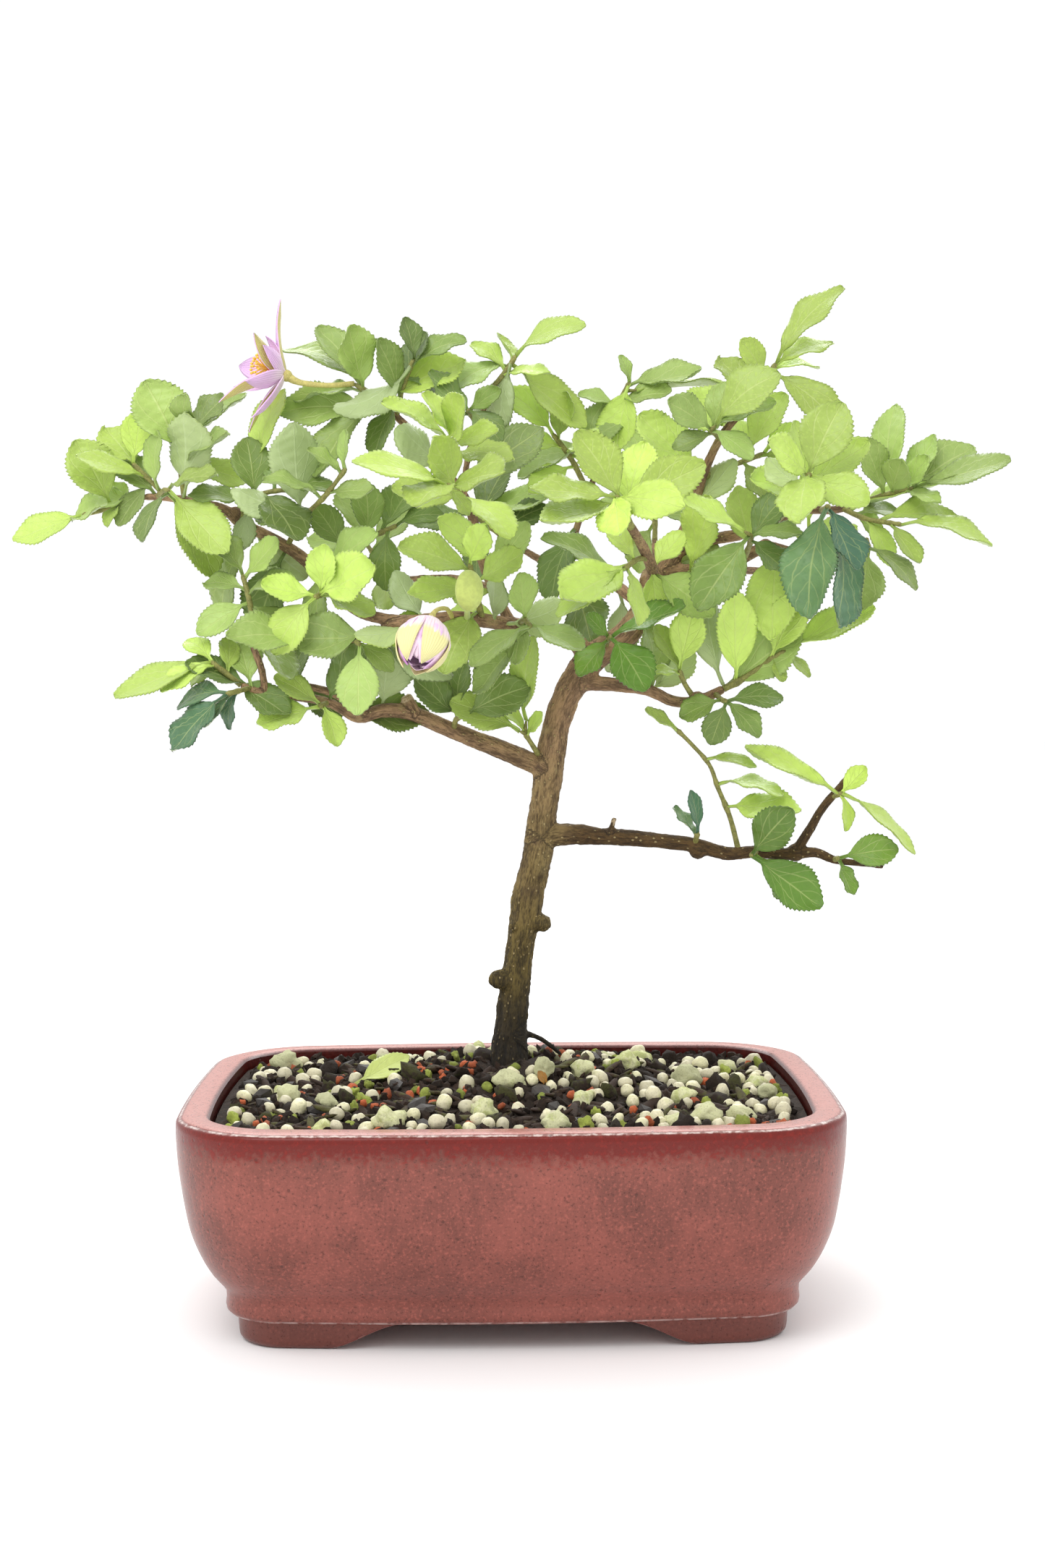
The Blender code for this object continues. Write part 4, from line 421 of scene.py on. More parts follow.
MOST_TRIES = 40
SOIL_REACH = (93, 71)
SOIL_CORNER = 17.0
SOIL_INSET = (10.5, 9.5)
# Middles of the heaps in which most pellets lie, and how far grains keep from the back, wall and trunk.
PELLET_CLUSTERS = ((60, 14), (40, -22), (46, -6), (70, -8), (74, -38), (8, -50), (-36, -56), (-64, 30),
                   (84, 10), (30, 26), (54, -60), (20, -8), (-78, -20), (-20, -60), (-84, 20), (66, 34),
                   (-66, 8), (-10, -44))
CLUSTERED = 0.85
CLUSTER_SPREAD = 6.0
BACK_EDGE = 54.0
WALL_CLEAR = 1.5
TRUNK_CLEAR = 8.0
FOOT_CLEAR = 14.0

Light = namedtuple("Light", "name place target size share")
# Stage: each light's place, target and size in metres and its share of the key's power, and half the floor.
LIGHTS = (
    Light("key", (-0.45, -0.75, 1.25), (0.0, 0.0, 0.15), (0.9, 0.9), 1.0),
    Light("rim_glow", (0.1, 0.9, 0.9), (0.0, 0.0, 0.2), (1.0, 0.6), 0.8),
)
FLOOR_REACH = 6.0


def linear(red, green, blue):
    """Colour read off the plant in 0 to 255, as the linear values that a shader takes."""
    return tuple((channel / 255.0) ** 2.2 for channel in (red, green, blue)) + (1.0,)


def colour_property(name, description, red, green, blue):
    """Setting that holds a colour, given in 0 to 255."""
    return bpy.props.FloatVectorProperty(name=name, description=description, subtype="COLOR", size=4, min=0.0,
                                         max=1.0, default=linear(red, green, blue))


def length_property(name, description, millimetres):
    """Setting that holds a length, given in millimetres."""
    return bpy.props.FloatProperty(name=name, description=description, subtype="DISTANCE", unit="LENGTH",
                                   default=millimetres * MM, min=0.0)


class PotSettings(bpy.types.PropertyGroup):
    body: colour_property("Wall", "Speckled glaze of the wall", 144, 80, 70)
    # Browner glaze patches, speckles and pits, and also the colour of the painted shade low on the feet.
    shadow: colour_property("Wall patches", "Browner patches in the wall's glaze", 104, 60, 52)
    brick: colour_property("Low wall", "Redder glaze low on the wall", 132, 72, 62)
    band: colour_property("Band", "Thin dark glaze that ran off below the rim", 104, 26, 18)
    rim: colour_property("Rim", "Glaze on the rim's flat top", 184, 120, 110)
    # Edge: a painted highlight, the pale line where the rim's rounded outer edge catches the light, also drawn
    # on the foot's step.
    edge: colour_property("Edge", "Pale break in the glaze along the rim's outer edge", 214, 196, 190)
    inside: colour_property("Inside", "Glaze of the inner wall", 72, 24, 20)
    speckle: length_property("Speckle", "Size of the glaze's speckles", 0.9)


class SoilSettings(bpy.types.PropertyGroup):
    earth: colour_property("Earth", "Damp fine soil between the grains", 44, 33, 25)
    pellet: colour_property("Pellets", "Smooth round fertiliser pellets", 226, 218, 184)
    lump: colour_property("Lumps", "Pumice lumps with a green bloom", 210, 210, 164)
    stone: colour_property("Stones", "Dark flat-faced stones", 56, 50, 46)
    chip: colour_property("Chips", "Bark chips", 58, 40, 28)
    lava: colour_property("Lava", "Orange-red lava grit", 172, 86, 50)
    moss: colour_property("Moss", "Moss-covered bits", 138, 148, 66)
    pellet_size: length_property("Pellet size", "Diameter of a pellet", 5.0)
    lump_size: length_property("Lump size", "Length of a pumice lump", 9.2)


class WoodSettings(bpy.types.PropertyGroup):
    bark: colour_property("Bark", "Bark of the middle of the trunk", 120, 96, 60)
    ridge: colour_property("Ridges", "Pale flecks and tops of the bark's ridges", 182, 160, 112)
    fissure: colour_property("Fissures", "Dark gaps between the ridges", 76, 58, 38)
    olive: colour_property("Low trunk", "Olive film low on the trunk", 86, 74, 36)
    base: colour_property("Foot", "Nearly black foot of the trunk", 34, 28, 20)
    upper: colour_property("Branches", "Warm grey bark of the upper branches", 154, 122, 94)
    limb: colour_property("Lowest branch", "Dark bark of the lowest branch", 72, 52, 28)
    cut: colour_property("Cut ends", "Bare wood of the cut ends", 190, 168, 136)
    voxel: length_property("Voxel", "Fineness of the bark's surface", 0.58)
    ridge_height: length_property("Ridge height", "Height of the bark's ridges on the trunk", 0.3)


class LeafSettings(bpy.types.PropertyGroup):
    # The upper sides' tones are the leaves' own greens, lightened with painted light that stands in for the
    # light shining through the leaves.
    young: colour_property("Young", "Upper side of the youngest leaves", 188, 216, 96)
    bright: colour_property("Bright", "Upper side of bright leaves", 184, 212, 100)
    mid: colour_property("Middle", "Upper side of most leaves", 154, 180, 96)
    deep: colour_property("Deep", "Upper side of leaves inside the crown", 104, 130, 62)
    blue: colour_property("Bluish", "Upper side of the bluish leaves", 66, 106, 80)
    low: colour_property("Low", "Upper side of the dark leaves on the lowest branch", 80, 122, 34)
    under: colour_property("Underside", "Paler underside of every leaf", 172, 188, 138)
    vein: colour_property("Veins", "Veins on the upper side", 204, 216, 138)
    twig: colour_property("Twigs", "Green-brown leafy twigs", 134, 132, 74)
    thickness: length_property("Thickness", "Thickness of a leaf's blade", 0.4)
    tooth: length_property("Tooth", "Spacing of the teeth along a leaf's edge", 1.4)


class FlowerSettings(bpy.types.PropertyGroup):
    petal: colour_property("Petals", "Lilac petals of the open flower", 232, 188, 236)
    petal_root: colour_property("Petal root", "Paler root of a petal", 250, 226, 244)
    sepal: colour_property("Sepals", "Olive-pink outside of the sepals", 204, 192, 116)
    stamen: colour_property("Stamens", "Yellow stamens", 244, 206, 84)
    boss: colour_property("Centre", "Reddish centre of the open flower", 212, 104, 76)
    cream: colour_property("Half-open petals", "Pinkish white petals of the half-open flower", 248, 222, 236)
    ivory: colour_property("Half-open sepals", "Cream sepals of the half-open flower", 236, 228, 160)
    blush: colour_property("Blush", "Purple touch on the half-open flower", 176, 84, 168)
    bud: colour_property("Bud", "Green-yellow bud", 184, 198, 104)


class LitterSettings(bpy.types.PropertyGroup):
    fallen: colour_property("Fallen leaf", "Pale green leaf that lies on the soil", 194, 206, 118)
    dead: colour_property("Dead leaf", "Small dead leaf before the trunk", 168, 108, 42)


class StageSettings(bpy.types.PropertyGroup):
    floor: colour_property("Floor", "Plain pale floor", 253, 253, 253)
    fill: bpy.props.FloatProperty(name="Fill", description="Strength of the even light all round",
                                  default=1.03, min=0.0)
    key: bpy.props.FloatProperty(name="Key", description="Power of the large soft light", default=9.0,
                                 min=0.0, subtype="POWER", unit="POWER")


class Signal:
    """Output of a node, whose arithmetic adds Math nodes behind it."""

    def __init__(self, finish, socket):
        self.finish = finish
        self.socket = socket

    def math(self, operation, *values):
        return self.finish.node("ShaderNodeMath", {"operation": operation}, dict(enumerate(values)))

    def __add__(self, other):
        return self.math("ADD", self, other)

    def __radd__(self, other):
        return self.math("ADD", other, self)

    def __sub__(self, other):
        return self.math("SUBTRACT", self, other)

    def __rsub__(self, other):
        return self.math("SUBTRACT", other, self)

    def __mul__(self, other):
        return self.math("MULTIPLY", self, other)

    def __rmul__(self, other):
        return self.math("MULTIPLY", other, self)

    def __abs__(self):
        return self.math("ABSOLUTE", self)

    def fraction(self):
        return self.math("FRACT", self)

    def larger(self, other):
        return self.math("MAXIMUM", self, other)

    def rise(self, low, high):
        """0 below low, 1 above high and a smooth slope between."""
        return self.finish.node("ShaderNodeMapRange", {"interpolation_type": "SMOOTHSTEP"},
                                {"Value": self, "From Min": low, "From Max": high})

    def fall(self, low, high):
        """1 below low, 0 above high and a smooth slope between."""
        return 1.0 - self.rise(low, high)

    def line(self, place, half_width):
        """1 where the signal has a value, fading out half_width to either side."""
        return abs(self - place).fall(0.0, half_width)


class Finish:
    """Material of one surface."""

    def __init__(self, name, roughness=0.5, **constants):
        self.material = bpy.data.materials.new(name)
        self.material.use_nodes = True
        self.tree = self.material.node_tree
        self.shader = self.tree.nodes["Principled BSDF"]
        self.shader.inputs["Roughness"].default_value = roughness
        for socket, value in constants.items():
            self.shader.inputs[socket.replace("_", " ").title().replace("Ior", "IOR")].default_value = value

    def node(self, kind, settings, sockets, output=0):
        """Adds a node with its settings and the values or links of its sockets, and gives one output."""
        made = self.tree.nodes.new(kind)
        for name, value in settings.items():
            setattr(made, name, value)
        for name, value in sockets.items():
            self.connect(value, made.inputs[name])
        return Signal(self, made.outputs[output])

    def connect(self, value, socket):
        if isinstance(value, Signal):
            self.tree.links.new(value.socket, socket)
        else:
            socket.default_value = value

    def colour(self, value):
        self.connect(value, self.shader.inputs["Base Color"])
        return self

    def rough(self, value):
        self.connect(value, self.shader.inputs["Roughness"])
        return self

    def relief(self, height, depth):
        """Bump of a height from 0 to 1 over a depth in metres."""
        bump = self.node("ShaderNodeBump", {}, {"Strength": 1.0, "Distance": depth, "Height": height})
        self.connect(bump, self.shader.inputs["Normal"])
        return self

    def place(self):
        """Place on the object in metres."""
        return self.node("ShaderNodeTexCoord", {}, {}, "Object")

    def sheet(self):
        """The blade's own map: across it from 0 to 1, and along it from 0 to 1."""
        return self.split(self.node("ShaderNodeUVMap", {"uv_map": "blade"}, {}))

    def number(self, name):
        """A number that each corner of the mesh holds."""
        return self.node("ShaderNodeAttribute", {"attribute_name": name}, {}, "Fac")

    def direction(self, name):
        """A place or direction that each corner of the mesh holds."""
        return self.node("ShaderNodeAttribute", {"attribute_name": name}, {}, "Vector")

    def split(self, vector):
        parts = self.node("ShaderNodeSeparateXYZ", {}, {"Vector": vector}).socket.node
        return [Signal(self, parts.outputs[axis]) for axis in ("X", "Y", "Z")]

    def drawn_out(self, vector, squeeze):
        """The place with its height squeezed, which draws out along the height what is made from it."""
        return self.node("ShaderNodeVectorMath", {"operation": "MULTIPLY"},
                         {0: vector, 1: (1.0, 1.0, squeeze)})

    def clouds(self, vector, size, detail=3.0, rough=0.5):
        """Noise from 0 to 1 with blobs of a size in metres."""
        return self.node("ShaderNodeTexNoise", {},
                         {"Vector": vector, "Scale": 1.0 / size, "Detail": detail, "Roughness": rough})

    def cells(self, vector, size, randomness=1.0):
        """Distance to the nearest of points that lie a size in metres apart, as a share of that size."""
        return self.node("ShaderNodeTexVoronoi", {},
                         {"Vector": vector, "Scale": 1.0 / size, "Randomness": randomness}, "Distance")

    def mix(self, share, low, high):
        """Colour from low to high by a share from 0 to 1."""
        return self.node("ShaderNodeMix", {"data_type": "RGBA"}, {0: share, 6: low, 7: high}, 2)

    def tones(self, share, colour, dark, light):
        """Darker to lighter tone of one colour by a share from 0 to 1."""
        return self.mix(share, shaded(colour, dark), shaded(colour, light))


def shaded(colour, factor):
    """The colour made lighter or darker."""
    return tuple(min(channel * factor, 1.0) for channel in colour[:3]) + (1.0,)


def glaze_finish(settings):
    """Speckled glaze by height on the profile: wall, ragged dark band, painted edge highlights, rim, inner
    wall, painted foot shade.
    """
    finish = Finish("glaze", 0.28, specular_ior_level=0.3, coat_weight=0.1, coat_roughness=0.08)
    place = finish.place()
    climb = finish.number("climb")
    fine = finish.clouds(place, settings.speckle, 2.0, 0.6)
    flecks = finish.clouds(place, settings.speckle * 2.0, 2.0, 0.7)
    streaks = finish.clouds(finish.drawn_out(place, 0.22), 2.6 * MM, 4.0, 0.65)
    patches = finish.clouds(place, 36 * MM, 3.0, 0.55)
    foot = finish.split(place)[2]
    mottling = (patches * 0.85 + streaks * 0.35 - 0.1).rise(0.26, 0.72)
    wall = finish.mix(mottling, settings.shadow, settings.body)
    wall = finish.mix(foot.fall(16 * MM, 32 * MM) * 0.4, wall, settings.brick)
    wall = finish.mix(fine.rise(0.54, 0.68) * 0.5, wall, shaded(settings.body, 1.45))
    wall = finish.mix(fine.fall(0.3, 0.44) * 0.55, wall, shaded(settings.shadow, 0.5))
    ragged = climb + (flecks - 0.5) * 12.0 + (patches - 0.5) * 7.0 + (streaks - 0.5) * 5.0
    band = finish.mix(flecks.rise(0.5, 0.7) * 0.6, settings.band, shaded(settings.band, 1.6))
    skin = finish.mix(ragged.rise(*BAND_EDGE) * 0.96, wall, band)
    rim = finish.mix(flecks.rise(0.5, 0.72) * 0.6, settings.rim, shaded(settings.body, 0.85))
    rim = finish.mix(fine.fall(0.26, 0.4) * 0.9, rim, shaded(settings.shadow, 0.4))
    skin = finish.mix((climb + (fine - 0.5) * 0.9).rise(*RIM_EDGE), skin, rim)
    # Painted highlight: a pale, broken line along the rim's rounded outer edge.
    edge = (climb + (flecks - 0.5) * 1.0).line(EDGE_HIGHLIGHT_CLIMB, 0.8)
    skin = finish.mix(edge * (0.25 + 0.75 * streaks.rise(0.4, 0.6)), skin, settings.edge)
    inner = finish.mix(flecks.rise(0.4, 0.75) * 0.5, settings.inside, shaded(settings.inside, 2.2))
    skin = finish.mix((climb + (fine - 0.5) * 1.2).rise(*INSIDE_EDGE), skin, inner)
    # Painted highlight along the step where the wall meets the feet, in the edge's pale colour.
    step_highlight = foot.line(9.2 * MM, 0.6 * MM) * streaks.rise(0.35, 0.6)
    # Painted shade: the feet and the wall just above them darken towards the floor.
    skin = finish.mix(foot.fall(4 * MM, 13 * MM) * 0.62, skin, shaded(settings.shadow, 0.62))
    skin = finish.mix(step_highlight * 0.5, skin, settings.edge)
    pits = 1.0 - finish.cells(place, 5.5 * MM).rise(0.05, 0.13)
    finish.colour(finish.mix(pits * 0.5, skin, shaded(settings.shadow, 0.35)))
    finish.rough(0.2 + 0.22 * fine)
    return finish.relief(fine * 0.35 + streaks * 0.4 - pits * 0.8 + patches * 0.6, 0.16 * MM).material


def leaf_finish(name, settings, tone, underside):
    """Blade with a midrib, two side ribs from its root and feathered veins, paler below."""
    finish = Finish(name, 0.5, sheen_weight=0.12, subsurface_weight=0.0)
    across, along, _ = finish.sheet()
    side = abs(across * 2.0 - 1.0)
    tint = finish.number("tint")
    place = finish.place()
    midrib = side.fall(0.0, 0.06)
    ribs = (side - along * 0.92).line(0.0, 0.045) * along.fall(0.65, 0.9)
    feathers = ((along - side * 0.34) * 5.5).fraction().line(0.5, 0.08)
    net = 1.0 - finish.cells(place, 1.3 * MM).rise(0.1, 0.5)
    veins = (midrib * 0.75).larger(ribs * 0.55).larger(feathers * 0.4)
    # The tone is partly painted light: lighter to stand in for light shining through the blade.
    base = finish.tones(tint, tone, 0.56, 1.26)
    base = finish.mix((tint * 7.0).fraction() * 0.25, base, settings.young)
    base = finish.mix(finish.clouds(place, 7 * MM, 3.0, 0.6).rise(0.35, 0.75) * 0.3, base, shaded(tone, 0.72))
    base = finish.mix(net * 0.16, base, shaded(tone, 1.35))
    if underside:
        base = finish.mix(0.7, base, settings.under)
        skin = finish.mix(veins * 0.7, base, shaded(settings.under, 1.25))
        height = veins * 0.8 + net * 0.15
    else:
        skin = finish.mix(veins * 0.5, base, settings.vein)
        height = 1.0 - veins * 0.8 - net * 0.2
    skin = finish.mix(side.rise(0.9, 1.0) * 0.3, skin, shaded(tone, 0.45))
    finish.colour(skin)
    finish.rough(0.42 + 0.2 * net)
    return finish.relief(height, 0.2 * MM).material


def plain_finish(name, colour, rough, size, depth, dark=0.6, light=1.3, **constants):
    """Mottled matt surface whose blobs have a size and whose relief has a depth."""
    finish = Finish(name, rough, **constants)
    place = finish.place()
    blotches = finish.clouds(place, size, 4.0, 0.6)
    grit = finish.clouds(place, size * 0.25, 2.0, 0.6)
    finish.colour(finish.tones((blotches * 0.7 + grit * 0.5 - 0.1).rise(0.25, 0.75), colour, dark, light))
    return finish.relief(blotches * 0.6 + grit * 0.4, depth).material


def grain_finish(name, colour, bloom, rough, depth, bloom_share=0.5):
    """Soil grain with its own shade and a bloom of another colour in blotches."""
    finish = Finish(name, rough)
    place = finish.place()
    tint = finish.number("tint")
    blotches = finish.clouds(place, 2.6 * MM, 3.0, 0.6)
    pores = finish.clouds(place, 0.7 * MM, 2.0, 0.6)
    skin = finish.tones(tint, colour, 0.7, 1.12)
    skin = finish.mix((blotches + tint * 0.4 - 0.2).rise(0.5, 0.72) * bloom_share, skin, bloom)
    skin = finish.mix(pores.fall(0.3, 0.5) * 0.45, skin, shaded(colour, 0.42))
    finish.colour(skin)
    return finish.relief(pores * 0.6 + blotches * 0.4, depth).material


def bark_finish(settings):
    """Bark whose grain and pale dots follow each limb, olive and black low down and paler on the branches."""
    finish = Finish("bark", 0.85)
    place = finish.place()
    grain = finish.direction("grain")
    height = finish.split(place)[2]
    ridges = finish.clouds(finish.drawn_out(grain, 0.28), 0.55 * MM, 4.0, 0.6)
    broad = finish.clouds(finish.drawn_out(grain, 0.2), 2.4 * MM, 3.0, 0.6)
    spots = finish.cells(finish.drawn_out(grain, 0.7), 1.9 * MM)
    film = finish.clouds(place, 9 * MM, 4.0, 0.6)
    shade = (ridges * 0.5 + broad * 0.5).rise(0.38, 0.62)
    pale = finish.mix(shade, settings.fissure, settings.ridge)
    base = finish.mix(0.55, pale, finish.tones(shade, settings.bark, 0.5, 1.35))
    upper = finish.tones(shade, settings.upper, 0.5, 1.4)
    skin = finish.mix((height + film * 30 * MM).rise(*UPPER_BARK) * 0.85, base, upper)
    skin = finish.mix(film.rise(0.54, 0.66) * 0.6, skin, shaded(settings.upper, 0.36))
    skin = finish.mix(film.fall(0.34, 0.44) * 0.45, skin, shaded(settings.ridge, 1.05))
    low = 1.0 - (height + (film - 0.5) * 40 * MM).rise(*OLIVE_FILM)
    olive = finish.tones(shade, settings.olive, 0.4, 1.75)
    skin = finish.mix(low * 0.85, skin, olive)
    out = finish.split(place)[0].rise(*LIMB_START) * height.fall(*LIMB_TOP)
    skin = finish.mix(out * 0.85, skin, finish.tones(shade, settings.limb, 0.6, 1.6))
    foot = 1.0 - (height + (film - 0.5) * 16 * MM).rise(*FOOT_BLACK)
    dark = finish.tones(shade, settings.base, 0.4, 1.8)
    skin = finish.mix(foot * 0.94, skin, dark)
    dots = spots.fall(0.12, 0.24)
    skin = finish.mix(dots * (0.75 - 0.5 * foot), skin, shaded(settings.ridge, 1.1))
    skin = finish.mix(finish.number("cut"), skin, settings.cut)
    finish.colour(skin)
    return finish.relief(ridges * 0.7 + dots * 0.5 + broad * 0.6, 1.2 * MM).material


def petal_finish(name, root, tip, veins=0.3, reach=(0.05, 0.6)):
    """Soft petal from one colour at its root to another at its tip, with fine lines along it."""
    finish = Finish(name, 0.55, sheen_weight=0.2)
    across, along, _ = finish.sheet()
    lines = (across * 9.0).fraction().line(0.5, 0.3)
    skin = finish.mix(along.rise(*reach), root, tip)
    finish.colour(finish.mix(lines * veins, skin, shaded(tip, 0.6)))
    return finish.relief(lines, 0.1 * MM).material


def half_open_finish(settings):
    """Pinkish white petals with lilac and faint purple blotches."""
    finish = Finish("petal_cream", 0.5, sheen_weight=0.2)
    place = finish.place()
    shade = finish.clouds(place, 5 * MM, 2.0, 0.5)
    lines = finish.clouds(finish.drawn_out(place, 0.25), 1.0 * MM, 2.0, 0.5)
    skin = finish.mix(shade.rise(0.35, 0.65), settings.cream, settings.petal)
    skin = finish.mix(shade.rise(0.56, 0.72) * 0.45, skin, settings.blush)
    finish.colour(skin)
    return finish.relief(lines, 0.2 * MM).material


def seen(x, z, depth):
    """Place at a depth that the camera sees over (x, z) of the trunk's plane, in metres."""
    reach = (depth - EYE.y) / (TRUNK_DEPTH - EYE.y)
    return Vector((EYE.x + (x - EYE.x) * reach, depth, EYE.z + (z - EYE.z) * reach)) * MM


def route_of(points):
    """Route points as (place, radius) in metres."""
    return [(seen(x, z, depth), radius * MM) for x, z, depth, radius in points]


def smoothed(route, spacing):
    """The route as a smooth curve through its points, with a point about every spacing."""
    points = [route[0]] + list(route) + [route[-1]]
    dense = []
    for near in zip(points, points[1:], points[2:], points[3:]):
        _, start, end, _ = near
        steps = max(int((end[0] - start[0]).length / spacing + 0.5), 1)
        for step in range(steps):
            t = step / steps
            weights = (-0.5 * t ** 3 + t * t - 0.5 * t, 1.5 * t ** 3 - 2.5 * t * t + 1.0,
                       -1.5 * t ** 3 + 2.0 * t * t + 0.5 * t, 0.5 * t ** 3 - 0.5 * t * t)
            place = sum((weight * point[0] for weight, point in zip(weights, near)), Vector())
            dense.append((place, start[1] + (end[1] - start[1]) * t))
    dense.append(route[-1])
    return dense


def framed(route):
    """Place, radius, direction ahead and a steady direction across at each point of a route."""
    across = None
    for index, (place, radius) in enumerate(route):
        ahead = (route[min(index + 1, len(route) - 1)][0] - route[max(index - 1, 0)][0]).normalized()
        if across is None:
            across = ahead.orthogonal()
        across = (across - ahead * across.dot(ahead)).normalized()
        yield place, radius, ahead, across


def finder_of(places):
    """Finder of the nearest of some places."""
    finder = KDTree(len(places))
    for index, place in enumerate(places):
        finder.insert(place, index)
    finder.balance()
    return finder


def object_from(bm, name, finishes, smooth=True):
    """The bmesh as a named object with its materials, facing outwards."""
    bmesh.ops.recalc_face_normals(bm, faces=bm.faces)
    mesh = bpy.data.meshes.new(name)
    bm.to_mesh(mesh)
    bm.free()
    for finish in finishes:
        mesh.materials.append(finish)
    if smooth:
        mesh.shade_smooth()
    obj = bpy.data.objects.new(name, mesh)
    bpy.context.scene.collection.objects.link(obj)
    return obj


def settle(piece, slot, *nodes):
    """Makes the piece part of the object: it rides on its one body and stands for its solids."""
    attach(piece, "root")
    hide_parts(*nodes)


def bake(obj):
    """Applies the object's modifiers."""
    bpy.context.view_layer.update()
    graph = bpy.context.evaluated_depsgraph_get()
    mesh = bpy.data.meshes.new_from_object(obj.evaluated_get(graph))
    obj.modifiers.clear()
    obj.data = mesh


def combine(obj, other, operation):
    """One applied Boolean of obj with other, which is then removed."""
    modifier = obj.modifiers.new(operation.title(), "BOOLEAN")
    modifier.operation = operation
    modifier.solver = "MANIFOLD"
    modifier.object = other
    bake(obj)
    bpy.data.objects.remove(other)


def outline(inset, corner_steps=16, long_steps=16, short_steps=12):
    """Bowed, round-cornered rectangle as (x, y), anticlockwise from the right-hand side."""
    half_x = POT_LENGTH / 2 - inset
    half_y = POT_DEPTH / 2 - inset
    corner = max(POT_CORNER - inset, SHARPEST_CORNER)
    runs = ((2 * (half_x - corner), long_steps), (2 * (half_y - corner), short_steps))
    points = []
    for turn, (sign_x, sign_y) in enumerate(((1, 1), (-1, 1), (-1, -1), (1, -1))):
        centre = Vector((sign_x * (half_x - corner), sign_y * (half_y - corner)))
        for step in range(corner_steps + 1):
            angle = math.radians(90 * (turn + step / corner_steps))
            points.append(centre + corner * Vector((math.cos(angle), math.sin(angle))))
        start = points[-1]
        run, steps = runs[turn % 2]
        ahead = math.radians(90 * (turn + 1))
        along = Vector((-math.sin(ahead), math.cos(ahead)))
        points += [start + along * run * step / steps for step in range(1, steps)]
    bowed = []
    for point in points:
        bow_y = POT_BOW_LONG * (1 - (point.x / half_x) ** 2) * point.y / half_y
        bow_x = POT_BOW_SHORT * (1 - (point.y / half_y) ** 2) * point.x / half_x
        bowed.append((point.x + bow_x, point.y + bow_y))
    return bowed


def fine_profile(points, spacing):
    """The profile as a smooth curve of (height, inset), with a point about every spacing millimetres."""
    route = [(Vector((z, inset, 0.0)), 0.0) for z, inset in points]
    return [(place.x, place.y) for place, _ in smoothed(route, spacing)]


def outline_form(name, profile, climbs, finishes=()):
    """Closed form grown by extruding its last face up the profile, with the glaze's climb at each outline."""
    bm = bmesh.new()
    layer = bm.verts.layers.float.new("climb")
    rings = [[Vector((x, y, z * MM)) for x, y in outline(inset * MM)] for z, inset in profile]
    verts = [bm.verts.new(point) for point in rings[0]]
    face = bm.faces.new(verts)
    for index, ring in enumerate(rings):
        if index:
            grown = bmesh.ops.extrude_face_region(bm, geom=[face])["geom"]
            if index > 1:
                bmesh.ops.delete(bm, geom=[face], context="FACES_ONLY")
            moved = [item for item in grown if isinstance(item, bmesh.types.BMVert)]
            home = {tuple(round(value, 7) for value in vert.co): vert for vert in moved}
            verts = [home[tuple(round(value, 7) for value in point)] for point in rings[index - 1]]
            for vert, point in zip(verts, ring):
                vert.co = point
            face = [item for item in grown if isinstance(item, bmesh.types.BMFace)][0]
            rings[index] = [vert.co.copy() for vert in verts]
        for vert in verts:
            vert[layer] = climbs[index]
    return object_from(bm, name, finishes)


def arch_cutter(name, reach, along_x):
    """Long bar under the pot whose top is an arch, wider at the floor than where it meets the wall."""
    bm = bmesh.new()
    far, near = reach
    curve = []
    for step in range(ARCH_STEPS + 1):
        share = step / ARCH_STEPS
        eased = share + ARCH_EASE * (0.5 - 0.5 * math.cos(math.pi * share) - share)
        curve.append((far + (near - far) * share, ARCH_TOP * eased))
    section = [(far, -5 * MM)] + curve + [(-x, z) for x, z in reversed(curve)] + [(-far, -5 * MM)]
    verts = [bm.verts.new((-POT_LENGTH, x, z) if along_x else (x, -POT_LENGTH, z)) for x, z in section]
    grown = bmesh.ops.extrude_face_region(bm, geom=[bm.faces.new(verts)])["geom"]
    moved = [item for item in grown if isinstance(item, bmesh.types.BMVert)]
    span = Vector((2 * POT_LENGTH, 0, 0)) if along_x else Vector((0, 2 * POT_LENGTH, 0))
    bmesh.ops.translate(bm, verts=moved, vec=span)
    return object_from(bm, name, [], smooth=False)


